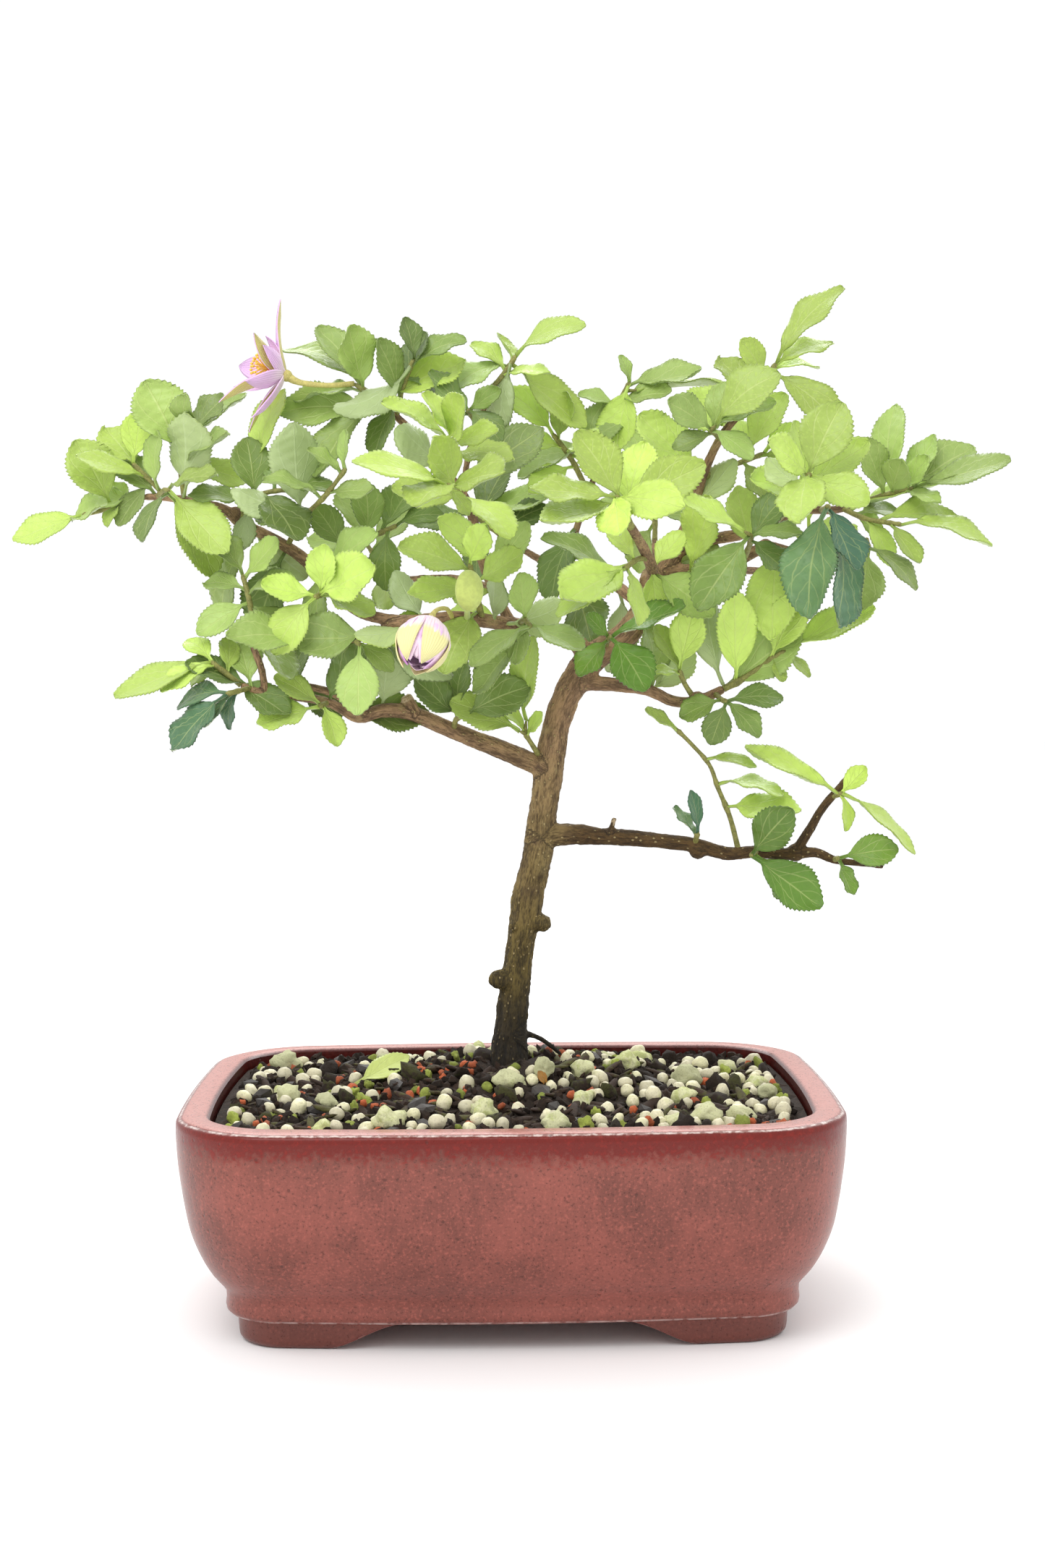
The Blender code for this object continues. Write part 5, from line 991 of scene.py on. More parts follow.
def make_pot(settings):
    """Pot with its feet and drain holes, as fine as it is seen close by."""
    glaze = glaze_finish(settings)
    outside = fine_profile(POT_OUTSIDE[:8], 2.0) + fine_profile(POT_OUTSIDE[7:], 0.7)[1:]
    profile = outside + fine_profile(POT_INSIDE, 1.5)
    lengths = [0.0]
    for start, end in zip(profile, profile[1:]):
        lengths.append(lengths[-1] + math.dist(start, end))
    middle = (lengths[len(outside) - 1] + lengths[len(outside)]) / 2
    pot = outline_form("pot_glazed", profile, [length - middle for length in lengths], [glaze])
    foot = fine_profile(FOOT_OUTSIDE, 1.2) + [(FOOT_OUTSIDE[-1][0], FOOT_INSIDE[0][1] + 8.0)]
    feet = outline_form("feet", foot, [FOOT_CLIMB] * len(foot), [glaze])
    hollow = ((-4.0, FOOT_INSIDE[1][1] - 0.4), (14.0, FOOT_INSIDE[0][1] + 0.35))
    combine(feet, outline_form("hollow", hollow, [FOOT_CLIMB] * len(hollow)), "DIFFERENCE")
    combine(feet, arch_cutter("arch_long", ARCH_LONG, False), "DIFFERENCE")
    combine(feet, arch_cutter("arch_short", ARCH_SHORT, True), "DIFFERENCE")
    combine(pot, feet, "UNION")
    for side in (-1, 1):
        bm = bmesh.new()
        bmesh.ops.create_cone(bm, cap_ends=True, segments=40, radius1=DRAIN_RADIUS, radius2=DRAIN_RADIUS,
                              depth=4 * FLOOR_TOP, matrix=Matrix.Translation((side * DRAIN_X, 0, 0)))
        combine(pot, object_from(bm, "drain", []), "DIFFERENCE")
    pot.data.materials.clear()
    pot.data.materials.append(glaze)
    pot.data.polygons.foreach_set("material_index", [0] * len(pot.data.polygons))
    pot.data.set_sharp_from_angle(angle=SHARP_EDGE)
    settle(pot, "glaze", "pot")


def inside_pot(x, y, margin):
    """Whether a place in millimetres is at least a margin inside the pot's inner wall."""
    over_x = abs(x) - (POT_LENGTH / MM / 2 - SOIL_INSET[0] - margin - SOIL_CORNER)
    over_y = abs(y) - (POT_DEPTH / MM / 2 - SOIL_INSET[1] - margin - SOIL_CORNER)
    return math.hypot(max(over_x, 0.0), max(over_y, 0.0)) < SOIL_CORNER


def add_grain(bm, tint, grain, centre, size, draw):
    """One grain of soil: a ball stretched, turned and roughened."""
    turn = Euler((draw.uniform(-0.5, 0.5), draw.uniform(-0.5, 0.5), draw.uniform(0, 6.3)))
    if grain.kind not in FLAT_GRAINS:
        turn = Euler([draw.uniform(0, 6.3) for _ in range(3)])
    stretch = Matrix.Diagonal([value * draw.uniform(0.85, 1.15) * size for value in grain.stretch] + [1])
    matrix = Matrix.Translation(centre) @ turn.to_matrix().to_4x4() @ stretch
    made = bmesh.ops.create_icosphere(bm, subdivisions=grain.detail, radius=1.0, matrix=matrix)["verts"]
    shift = Vector([draw.uniform(0, 50) for _ in range(3)])
    shade = draw.random()
    for vert in made:
        out = vert.co - centre
        bump = noise.noise(out / size * 1.3 + shift) + 0.5 * noise.noise(out / size * 3.1 + shift)
        vert.co = centre + out * (1.0 + grain.roughness * bump)
        vert[tint] = shade


def scatter(settings, soil):
    """Places of the grains by kind, on the highest soil beneath each."""
    draw = random.Random(SEED)
    placed = []
    found = {}
    sizes = {"pellet": settings.pellet_size / MM / 2, "lump": settings.lump_size / MM / 2}
    for grain in GRAINS:
        crumb = grain.kind == "crumb"
        fine = grain.kind in FINE_GRAINS
        base = sizes.get(grain.kind, grain.size)
        spots = []
        for _ in range(grain.count * MOST_TRIES):
            if len(spots) == grain.count:
                break
            x, y = (draw.uniform(-reach, reach) for reach in SOIL_REACH)
            if grain.kind == "pellet" and draw.random() < CLUSTERED:
                middle = draw.choice(PELLET_CLUSTERS)
                x, y = draw.gauss(middle[0], CLUSTER_SPREAD), draw.gauss(middle[1], CLUSTER_SPREAD * 0.8)
            size = base * draw.uniform(*SIZE_SPREAD)
            ground = soil.ray_cast(Vector((x * MM, y * MM, 0.2)), Vector((0, 0, -1)))[0]
            trunk = math.hypot(x, y - TRUNK_DEPTH) - size * 0.5
            clear = trunk >= (TRUNK_CLEAR if fine else FOOT_CLEAR) and (crumb or y <= BACK_EDGE)
            if not ground or not clear or not inside_pot(x, y, size + (0.0 if fine else WALL_CLEAR)):
                continue
            if not crumb:
                reach = size * (0.3 if grain.kind == "chip" else 0.86)
                if any(math.hypot(x - a, y - b) < reach + c for a, b, c in placed):
                    continue
                placed.append((x, y, reach))
            rise = size * grain.stretch[2] * (0.75 - grain.sink)
            spots.append((ground + Vector((0, 0, rise * MM)), size * MM))
        found[grain.kind] = spots
    return found


def make_soil(settings):
    """Fine earth under a crowded layer of pellets, pumice, clods, stones, chips, lava, moss and crumbs."""
    earth = plain_finish("earth", settings.earth, 0.95, 3 * MM, 0.9 * MM, 0.45, 1.8)
    bed = NODES["soil"]
    bed.data.materials.clear()
    bed.data.materials.append(earth)
    soil = BVHTree.FromPolygons([vert.co for vert in bed.data.vertices],
                                [face.vertices for face in bed.data.polygons])
    green = shaded(settings.moss, 1.3)
    finishes = {
        "pellet": grain_finish("pellet", settings.pellet, green, 0.45, 0.08 * MM, 0.22),
        "lump": grain_finish("pumice", settings.lump, green, 0.8, 0.4 * MM, 0.55),
        "stone": grain_finish("stone", settings.stone, shaded(settings.stone, 1.8), 0.6, 0.1 * MM, 0.3),
        "chip": grain_finish("bark_chip", settings.chip, shaded(settings.moss, 0.4), 0.85, 0.3 * MM, 0.5),
        "lava": grain_finish("lava", settings.lava, shaded(settings.lava, 1.3), 0.8, 0.3 * MM),
        "moss": grain_finish("moss", settings.moss, green, 0.9, 0.4 * MM, 0.6),
        "clod": grain_finish("clod", settings.earth, shaded(settings.moss, 0.3), 0.95, 0.5 * MM, 0.4),
        "crumb": grain_finish("crumb", settings.earth, settings.chip, 0.95, 0.3 * MM),
    }
    draw = random.Random(SEED + 1)
    places = scatter(settings, soil)
    for grain in GRAINS:
        bm = bmesh.new()
        tint = bm.verts.layers.float.new("tint")
        for centre, size in places[grain.kind]:
            add_grain(bm, tint, grain, centre, size, draw)
        piece = object_from(bm, "soil_" + grain.kind, [finishes[grain.kind]], grain.detail > 1)
        settle(piece, "earth")


def limb_curve(points):
    """Mesh of one limb along its route of (place, radius)."""
    curve = bpy.data.curves.new("limb", "CURVE")
    curve.dimensions = "3D"
    curve.bevel_depth = 1.0
    curve.bevel_resolution = 4
    curve.use_fill_caps = True
    route = smoothed(points, 2.0 * MM)
    spline = curve.splines.new("POLY")
    spline.points.add(len(route) - 1)
    for point, (place, radius) in zip(spline.points, route):
        point.co = (*place, 1.0)
        point.radius = radius
    obj = bpy.data.objects.new("limb", curve)
    bpy.context.scene.collection.objects.link(obj)
    bpy.context.view_layer.update()
    mesh = bpy.data.meshes.new_from_object(obj.evaluated_get(bpy.context.evaluated_depsgraph_get()))
    bpy.data.objects.remove(obj)
    return mesh


def limb_guide():
    """Dense points of every limb: place, direction, a direction across, distance along and radius."""
    guide = []
    for points in (TRUNK, *LIMBS.values()):
        gone = 0.0
        last = None
        for place, radius, ahead, across in framed(smoothed(route_of(points), 1.0 * MM)):
            gone += 0.0 if last is None else (place - last).length
            last = place
            guide.append((place, ahead, across, gone, radius))
    return guide


def make_wood(settings):
    """Trunk, limbs and surface root grown into one skin, with ridged bark, knobs and cut ends."""
    bm = bmesh.new()
    for points in (TRUNK, *LIMBS.values()):
        bm.from_mesh(limb_curve(route_of(points)))
    guide = limb_guide()
    finder = finder_of([entry[0] for entry in guide])
    for x, z, depth, radius in KNOBS:
        knob = seen(x, z, depth)
        swollen = radius * KNOB_SWELL * MM
        bmesh.ops.create_icosphere(bm, subdivisions=3, radius=swollen, matrix=Matrix.Translation(knob))
        root = guide[finder.find(knob)[1]][0].lerp(knob, STUB_ROOT)
        bm.from_mesh(limb_curve([(root, radius * STUB_SWELL * MM), (knob, swollen)]))
    wood = object_from(bm, "tree_wood", [bark_finish(settings)])
    remesh = wood.modifiers.new("Skin", "REMESH")
    remesh.mode = "VOXEL"
    remesh.voxel_size = settings.voxel
    remesh.use_smooth_shade = True
    bake(wood)
    bm = bmesh.new()
    bm.from_mesh(wood.data)
    for _ in range(SMOOTHINGS):
        bmesh.ops.smooth_vert(bm, verts=bm.verts, factor=0.5,
                              use_axis_x=True, use_axis_y=True, use_axis_z=True)
    bm.normal_update()
    grain = bm.verts.layers.float_vector.new("grain")
    cut = bm.verts.layers.float.new("cut")
    ends = [seen(*point) for point in CUT_ENDS]
    moves = []
    for vert in bm.verts:
        place, ahead, across, gone, radius = guide[finder.find(vert.co)[1]]
        out = vert.co - place
        coords = Vector((out.dot(across), out.dot(ahead.cross(across)), gone + out.dot(ahead)))
        vert[grain] = coords
        scaled = Vector((coords.x, coords.y, coords.z * GRAIN_STRETCH)) / MM
        ridge = noise.fractal(scaled * 1.3, 0.8, 2.1, 4, noise_basis="PERLIN_ORIGINAL")
        near_cut = min((vert.co - end).length for end in ends)
        vert[cut] = 1.0 if near_cut < CUT_REACH and out.dot(ahead) > -0.2 * MM else 0.0
        height = settings.ridge_height * ridge + LUMP_HEIGHT * noise.noise(vert.co / LUMP_SIZE)
        moves.append(vert.normal * height * min(radius / FULL_BARK, 1.2))
    for vert, move in zip(bm.verts, moves):
        vert.co += move
    bm.to_mesh(wood.data)
    bm.free()
    wood.data.shade_smooth()
    settle(wood, "bark", "wood")


Form = namedtuple("Form", "teeth petiole fold curl ripple thickness width columns")


def blade_width(share):
    """Half width of a leaf's blade, as a share of its widest, from its root at 0 to its tip at 1."""
    return math.sin(math.pi * min(max(share, 0.0), 1.0) ** 1.08) ** 0.7


def petal_width(share):
    """Half width of a petal, widest past its middle and drawn out at both ends."""
    return max(math.sin(math.pi * min(max(share, 0.0), 1.0) ** 0.9), 0.0) ** 0.85 + 0.1 * (1 - share)


def blade_pose(base, tip, seen_width):
    """Directions along, across and out of a blade's upper side, with its length and half width."""
    along = tip - base
    length = along.length
    along.normalize()
    front = Vector((0, -1, 0.15))
    facing = (front - along * front.dot(along)).normalized()
    over = along.cross(facing)
    if over.z < 0:
        over = -over
    tilt = math.acos(min(seen_width / BLADE_RATIO, 1.0) * 0.97)
    normal = (facing * math.cos(tilt) + over * math.sin(tilt)).normalized()
    half = 0.5 * length * BLADE_RATIO * (LONG_NARROWER if length > LONG_LEAF else 1.0)
    return along, normal.cross(along), normal, length, half * WIDER


def facing_pose(base, tip, outwards, half):
    """As blade_pose, for a petal that faces outwards and whose half width is a share of its length."""
    along = tip - base
    length = along.length
    along.normalize()
    normal = (outwards - along * outwards.dot(along)).normalized()
    return along, normal.cross(along), normal, length, length * half


def blade_rows(form):
    """Rows along the blade: (share of the whole length, share of the blade, half width share, tooth step)."""
    rows = [(0.0, -1.0, 0.0, 0.0)]
    if form.petiole:
        rows += [(form.petiole * 0.5, -0.5, 0.0, 0.0), (form.petiole * 0.94, -0.1, 0.0, 0.0)]
    count = form.teeth or 9
    for tooth in range(count):
        for part, step in ((0.62, 1.0), (1.0, 0.0)):
            share = (tooth + part) / count
            rows.append((form.petiole + (1 - form.petiole) * share, share, form.width(share), step))
    return rows


def add_blade(bm, pose, base, form, tint, phase, slots=(0, 1)):
    """Folded, toothed blade with its stalk: a grid shaped row by row, then given its thickness."""
    along, across, normal, length, half = pose
    uv = bm.loops.layers.uv["blade"]
    shade = bm.verts.layers.float["tint"]
    rows = blade_rows(form)
    last = len(rows) - 1
    made = bmesh.ops.create_grid(bm, x_segments=form.columns, y_segments=last, size=0.5)["verts"]
    spots = {}
    for vert in made:
        side = vert.co.x * 2.0
        share, blade, width, step = rows[round((vert.co.y + 0.5) * last)]
        spots[vert] = (side, max(blade, 0.0))
        toothed = form.teeth and abs(side) > 0.99
        reach = width * half * (1.0 - NOTCH_DEPTH * (1.0 - step) if toothed else 1.0)
        rise = form.fold * half * (abs(side) ** 1.3 - 1.0) * min(width * 1.5, 1.0)
        if blade < 0.0:
            reach = PETIOLE_HALF if form.petiole else 0.3 * half
            rise = 0.5 * MM * (abs(side) - 1.0)
        forward = TOOTH_LEAN * length * step if toothed else 0.0
        wave = form.ripple * half * math.sin(phase + 2 * math.pi * RIPPLES * share) * side * abs(side)
        quilt = QUILT_RISE * half * math.cos(2 * math.pi * QUILTS * (blade - 0.34 * abs(side)))
        quilt *= abs(side) * (1 - abs(side)) * 4
        if blade <= 0.0 or not form.teeth:
            quilt = 0.0
            wave *= 0.3
        bend = form.curl * length * 4 * share * (1 - share)
        vert.co = (base + along * (length * share + forward) + across * (side * reach)
                   + normal * (bend + rise + wave + quilt + 0.35 * MM))
        vert[shade] = tint
    faces = list({face for vert in made for face in vert.link_faces})
    for face in faces:
        for loop in face.loops:
            side, blade = spots[loop.vert]
            loop[uv].uv = (0.5 + 0.5 * side, blade)
    grown = bmesh.ops.extrude_face_region(bm, geom=faces)["geom"]
    for face in {face for vert in made for face in vert.link_faces}:
        face.material_index = slots[0]
    for item in grown:
        if isinstance(item, bmesh.types.BMFace):
            item.material_index = slots[1]
        elif isinstance(item, bmesh.types.BMVert):
            share = (item.co - base).dot(along) / length
            stalk = max(form.thickness, 2 * form.thickness * (1 - share))
            item.co -= normal * (form.thickness if share > form.petiole else stalk)
    tip = base + along * length
    ends = [vert for vert in made if (vert.co - tip).length < 1.5 * MM and spots[vert][1] > 0.999]
    if ends:
        bmesh.ops.remove_doubles(bm, verts=ends, dist=0.02 * MM)


def add_twig(bm, route, sides, bumps, slot):
    """Round twig along a route of (place, radius), a little thicker where leaves join it."""
    rings = []
    for place, radius, ahead, across in framed(smoothed(route, 1.6 * MM)):
        near = min(((place - bump).length for bump in bumps), default=1.0)
        radius *= 0.85 + 0.35 * max(0.0, 1.0 - near / (1.8 * MM)) + 0.08 * noise.noise(place / (2.0 * MM))
        rings.append((place, radius, Matrix((across, ahead.cross(across), ahead)).transposed().to_4x4()))
    last = None
    faces = []
    for index, (place, radius, turned) in enumerate(rings):
        if index == len(rings) - 1:
            radius *= 0.6
        circle = bmesh.ops.create_circle(bm, cap_ends=False, segments=sides, radius=radius,
                                         matrix=Matrix.Translation(place) @ turned)["verts"]
        edges = list({edge for vert in circle for edge in vert.link_edges})
        if last is None:
            faces += bmesh.ops.contextual_create(bm, geom=edges)["faces"]
        else:
            faces += bmesh.ops.bridge_loops(bm, edges=last + edges)["faces"]
        last = edges
    faces += bmesh.ops.contextual_create(bm, geom=last)["faces"]
    for face in faces:
        face.material_index = slot


def along_route(route, share):
    """Point at a share of the route's length."""
    runs = [(b[0] - a[0]).length for a, b in zip(route, route[1:])]
    left = share * sum(runs)
    for (start, end), run in zip(zip(route, route[1:]), runs):
        if left <= run:
            return start[0].lerp(end[0], left / run)
        left -= run
    return route[-1][0]


def route_from(route, length):
    """The rest of a route of (place, radius) from a length along it."""
    rest = []
    gone = 0.0
    for start, end in zip(route, route[1:]):
        run = (end[0] - start[0]).length
        if gone <= length < gone + run:
            share = (length - gone) / run
            rest.append((start[0].lerp(end[0], share), start[1] + (end[1] - start[1]) * share))
        gone += run
        if gone > length:
            rest.append(end)
    return rest


def solid_route(points, finder, low):
    """The stem's route from where its solid begins: the length at which its first ring matches the solid."""
    route = route_of(points)
    best = None
    for step in range(1, 40):
        rest = route_from(route, GAP * step)
        if len(rest) < 2:
            break
        ahead = (rest[1][0] - rest[0][0]).normalized()
        corner = rest[0][0] + rest[0][1] * ahead.orthogonal().normalized()
        distance = finder.find(corner)[2]
        if best is None or distance < best[0]:
            best = (distance, rest)
    return best[1]


def solid_leaf(route, leaf, finder):
    """Base, tip and seen width of a leaf as its solid has it, or None where the solid has no such leaf."""
    share, x, z, depth, seen_width = leaf
    base = along_route(route, 0.08 + 0.9 * share)
    found = []
    for shrink in SHRINKS:
        for step in DEPTH_STEPS:
            tip = base.lerp(seen(x, z, depth + step), shrink)
            found.append((finder.find(tip)[2], base, tip))
    distance, base, tip = min(found, key=lambda entry: entry[0])
    return (base, tip, seen_width) if distance < MATCH else None


def solid_stems():
    """Every stem as its solid has it: tone, route and leaves as (base, tip, seen width)."""
    stems = {}
    for name, (tone, points, leaves) in STEMS.items():
        finder = finder_of([vert.co for vert in NODES[name].data.vertices])
        route = solid_route(points, finder, GAP)
        found = [solid_leaf(route, leaf, finder) for leaf in leaves]
        stems[name] = (tone, route_of(points), [leaf for leaf in found if leaf])
    return stems


def inside(outer, spot):
    """Whether a spot lies inside a closed outline of (x, z)."""
    crossings = 0
    for (x0, z0), (x1, z1) in zip(outer, outer[1:] + outer[:1]):
        if (z0 > spot.y) != (z1 > spot.y) and spot.x < x0 + (x1 - x0) * (spot.y - z0) / (z1 - z0):
            crossings += 1
    return crossings % 2 == 1


def over_plane(place):
    """(x, z) of the trunk's plane, in millimetres, that a place covers as the camera sees it."""
    reach = (TRUNK_DEPTH - EYE.y) / (place.y / MM - EYE.y)
    return Vector((EYE.x + (place.x / MM - EYE.x) * reach, EYE.z + (place.z / MM - EYE.z) * reach))


def cells_under(base, tip, seen_width):
    """Cells of the crown's grid that a blade from base to tip covers, as the camera sees it."""
    along = tip - base
    half = 0.5 * along.length * seen_width
    columns, lines = (range(int((min(start, end) - half) / CELL), int((max(start, end) + half) / CELL) + 1)
                      for start, end in zip(base, tip))
    cells = set()
    for i in columns:
        for j in lines:
            spot = Vector((i * CELL, j * CELL)) - base
            blade = (spot.dot(along) / along.length_squared - PETIOLE_SHARE) / (1 - PETIOLE_SHARE)
            if 0 < blade < 1 and abs(spot.cross(along)) / along.length < half * blade_width(blade):
                cells.add((i, j))
    return cells


def infill(stems, draw):
    """Leaves where the crown is thin: (place on the twig, base, tip, seen width), widest gaps first."""
    columns, lines = (range(int(min(values) / CELL) - 1, int(max(values) / CELL) + 2)
                      for values in zip(*CROWN))
    crown = {(i, j) for i in columns for j in lines if inside(CROWN, Vector((i * CELL, j * CELL)))}
    gaps = set(crown)
    carriers = []
    for _, route, leaves in stems.values():
        carriers += [place for place, _ in smoothed(route, 4 * MM)]
        for base, tip, seen_width in leaves:
            gaps -= cells_under(over_plane(base), over_plane(tip), seen_width)
    for points in LIMBS.values():
        carriers += [place for place, radius in smoothed(route_of(points), 5 * MM) if radius < THIN_LIMB]
    finder = finder_of([(*over_plane(place), 0.0) for place in carriers])
    found = []
    while len(found) < INFILL_MOST and len(gaps) > INFILL_LEFT * len(crown):
        best = (0,)
        aims = sorted(gaps)
        for _ in range(INFILL_TRIES):
            aim = Vector(draw.choice(aims)) * CELL
            spot, index, distance = draw.choice(finder.find_n((*aim, 0.0), CARRIERS_NEAR))
            heading = (aim - spot.xy) + Vector((draw.gauss(0, 2), draw.gauss(1, 2)))
            shortest, longest = INFILL_LENGTHS
            length = min(max(distance / 0.6, shortest), longest) * draw.uniform(0.85, 1.1)
            base = spot.xy + heading.normalized() * max(distance - 0.6 * length, 0.0)
            tip = base + heading.normalized() * length
            seen_width = draw.uniform(*INFILL_WIDTHS)
            if distance > INFILL_REACH or not inside(CROWN, tip):
                continue
            cells = cells_under(base, tip, seen_width)
            if len(cells & gaps) > best[0]:
                depth = carriers[index].y / MM
                ends = (seen(*base, depth + draw.uniform(-3, 3)), seen(*tip, depth + draw.uniform(-16, 12)))
                best = (len(cells & gaps), (carriers[index], *ends, seen_width), cells)
        if best[0]:
            gaps -= best[2]
            found.append(best[1])
    return found


def add_leaf(bm, base, tip, seen_width, turned, settings, draw):
    """One leaf with its own curl, fold and shade, turned over where asked."""
    along, across, normal, length, half = blade_pose(base, tip, seen_width)
    half *= draw.uniform(*LEAF_WIDTHS)
    if turned:
        across, normal = -across, -normal
    teeth = max(round((tip - base).length * (1 - PETIOLE_SHARE) / settings.tooth), 5)
    shape = [draw.uniform(*spread) for spread in (FOLDS, CURLS, RIPPLE_HEIGHTS)]
    form = Form(teeth, PETIOLE_SHARE, *shape, settings.thickness, blade_width, BLADE_COLUMNS)
    add_blade(bm, (along, across, normal, length, half), base, form, draw.random(), draw.uniform(0, 6.3))


def make_leafy_stems(settings):
    """The stems with their leaves, then the leaves between them in a piece for each tone."""
    draw = random.Random(SEED + 2)
    twig = plain_finish("twig", settings.twig, 0.7, 2 * MM, 0.15 * MM, 0.6, 1.35)
    finishes = {}
    for tone in ("young", "bright", "mid", "deep", "blue", "low"):
        colour = getattr(settings, tone)
        finishes[tone] = [leaf_finish("leaf_" + tone, settings, colour, False),
                          leaf_finish("leaf_under_" + tone, settings, colour, True), twig]
    stems = solid_stems()
    for name, (tone, route, leaves) in stems.items():
        bm = new_bloom()
        for base, tip, seen_width in leaves:
            add_leaf(bm, base, tip, seen_width, False, settings, draw)
        add_twig(bm, route, 9, [base for base, _, _ in leaves], 2)
        piece = object_from(bm, name + "_leafy", finishes[tone])
        settle(piece, "leaf_" + ("deep" if tone == "low" else tone), name)
    meshes = {tone: new_bloom() for tone, _ in TONE_LIMITS}
    for place, base, tip, seen_width in infill(stems, draw):
        roll = draw.random() * 0.8 + 0.3 * (tip.z - CROWN_BASE) / CROWN_HEIGHT + tip.x / CROWN_REACH
        tone = next(tone for tone, limit in TONE_LIMITS if roll < limit)
        add_leaf(meshes[tone], base, tip, seen_width, draw.random() < TURNED_OVER, settings, draw)
        if (base - place).length > 1.5 * MM:
            stalk = [(place, 0.9 * MM), (place.lerp(base, 0.5), 0.75 * MM), (base, 0.6 * MM)]
            add_twig(meshes[tone], stalk, 7, [], 2)
    for tone, bm in meshes.items():
        settle(object_from(bm, "crown_leaves_" + tone, finishes[tone]), "leaf_" + tone)


def new_bloom():
    """Empty form whose blades have a map and whose corners hold a shade."""
    bm = bmesh.new()
    bm.loops.layers.uv.new("blade")
    bm.verts.layers.float.new("tint")
    return bm


def add_ball(bm, centre, size, subdivisions, slot):
    """Ball stretched to its half sizes along X, Y and Z."""
    matrix = Matrix.Translation(centre) @ Matrix.Diagonal((*size, 1))
    made = bmesh.ops.create_icosphere(bm, subdivisions=subdivisions, radius=1.0, matrix=matrix)["verts"]
    for vert in made:
        for face in vert.link_faces:
            face.material_index = slot


def make_open_flower(settings):
    """Open star: lilac petals over longer olive-pink sepals, round a reddish column with yellow stamens."""
    draw = random.Random(SEED + 3)
    finishes = [
        petal_finish("petal", settings.petal_root, settings.petal),
        plain_finish("stamen", settings.stamen, 0.6, 1 * MM, 0.05 * MM, 0.85, 1.1),
        petal_finish("sepal_face", settings.petal_root, shaded(settings.petal, 0.95)),
        petal_finish("sepal_back", settings.sepal, shaded(settings.sepal, 1.1), 0.15),
        plain_finish("column", settings.boss, 0.6, 1 * MM, 0.1 * MM, 0.8, 1.2),
        plain_finish("stalk", settings.sepal, 0.7, 2 * MM, 0.1 * MM, 0.7, 1.1),
    ]
    petal, stamen, sepal_face, sepal_back, column, stalk = range(len(finishes))
    centre = seen(*OPEN_FLOWER_CENTRE)
    ahead = OPEN_FLOWER_FACES.normalized()
    bm = new_bloom()
    add_twig(bm, route_of(OPEN_FLOWER_STALK), 10, [], stalk)
    add_ball(bm, centre, Vector((2.0, 2.0, 2.0)) * MM, 3, stalk)
    for tips, half, curl, lift, slots in ((SEPAL_TIPS, SEPAL_HALF, 0.08, 0.0, (sepal_face, sepal_back)),
                                          (PETAL_TIPS, PETAL_HALF, -0.06, PETAL_LIFT, (petal, petal))):
        form = Form(0, 0.0, 0.3, curl, 0.05, 0.35 * MM, petal_width, BLADE_COLUMNS)
        for tip in tips:
            base = centre + ahead * lift
            pose = facing_pose(base, seen(*tip), ahead, half)
            add_blade(bm, pose, base, form, 0.5, draw.uniform(0, 6.3), slots)
    side = ahead.orthogonal().normalized()
    neck = centre + ahead * STAMEN_LENGTH * 0.55
    add_twig(bm, [(centre, 1.0 * MM), (neck, 0.75 * MM), (neck + ahead * 1.2 * MM, 0.9 * MM)], 10, [], column)
    for index in range(STAMEN_COUNT):
        turned = Matrix.Rotation(2.4 * index, 3, ahead) @ side
        spread = STAMEN_SPREAD * math.sqrt((index + 0.5) / STAMEN_COUNT)
        end = centre + ahead * STAMEN_LENGTH * (1.08 - 0.3 * index / STAMEN_COUNT) + turned * spread
        middle = neck.lerp(end, 0.55) - turned * spread * 0.18
        add_twig(bm, [(neck, 0.2 * MM), (middle, 0.17 * MM), (end, 0.15 * MM)], 5, [], stamen)
        add_ball(bm, end, Vector((0.6, 0.6, 0.5)) * MM, 1, stamen)
    settle(object_from(bm, "open_flower_fine", finishes), "petals", "open_flower")


def make_half_open_flower(settings):
    """Hanging cup of overlapping petals, held in broad cream sepals."""
    finishes = [
        half_open_finish(settings),
        petal_finish("sepal_yellow", settings.cream, settings.ivory, 0.1, (0.36, 0.52)),
        plain_finish("stalk_half_open", settings.sepal, 0.7, 2 * MM, 0.1 * MM, 0.7, 1.1),
    ]
    petal, _, stalk = range(len(finishes))
    centre = seen(*HALF_OPEN_CENTRE)
    axis = (centre - seen(*HALF_OPEN_STALK[-1][:3])).normalized()
    side = axis.orthogonal().normalized()
    bm = new_bloom()
    stem = [(place, radius * 0.75) for place, radius in route_of(HALF_OPEN_STALK)]
    add_twig(bm, stem + [(centre - axis * 5 * MM, 2.4 * MM)], 10, [], stalk)
    add_ball(bm, centre, HALF_OPEN_SIZE * 0.62, 3, petal)
    for ring, (girth, start, end, slot) in enumerate(HALF_OPEN_RINGS):
        spread, half, fold, curl = (2.4, 0.33, -0.35, 0.21) if slot == petal else (3.6, 0.2, -0.2, 0.23)
        form = Form(0, 0.0, fold, curl, 0.04, 0.4 * MM, petal_width, BLADE_COLUMNS)
        for index in range(5):
            turned = Matrix.Rotation(2 * math.pi * (index + 0.5 * ring) / 5, 3, axis) @ side
            base = centre + axis * start * MM + turned * 2.0 * MM
            tip = centre + axis * end * MM + turned * spread * MM
            pose = facing_pose(base, tip, turned, half * girth)
            add_blade(bm, pose, base, form, 0.5, 1.0 + index, (slot, slot))
    settle(object_from(bm, "half_open_flower_fine", finishes), "petal_cream", "half_open_flower")


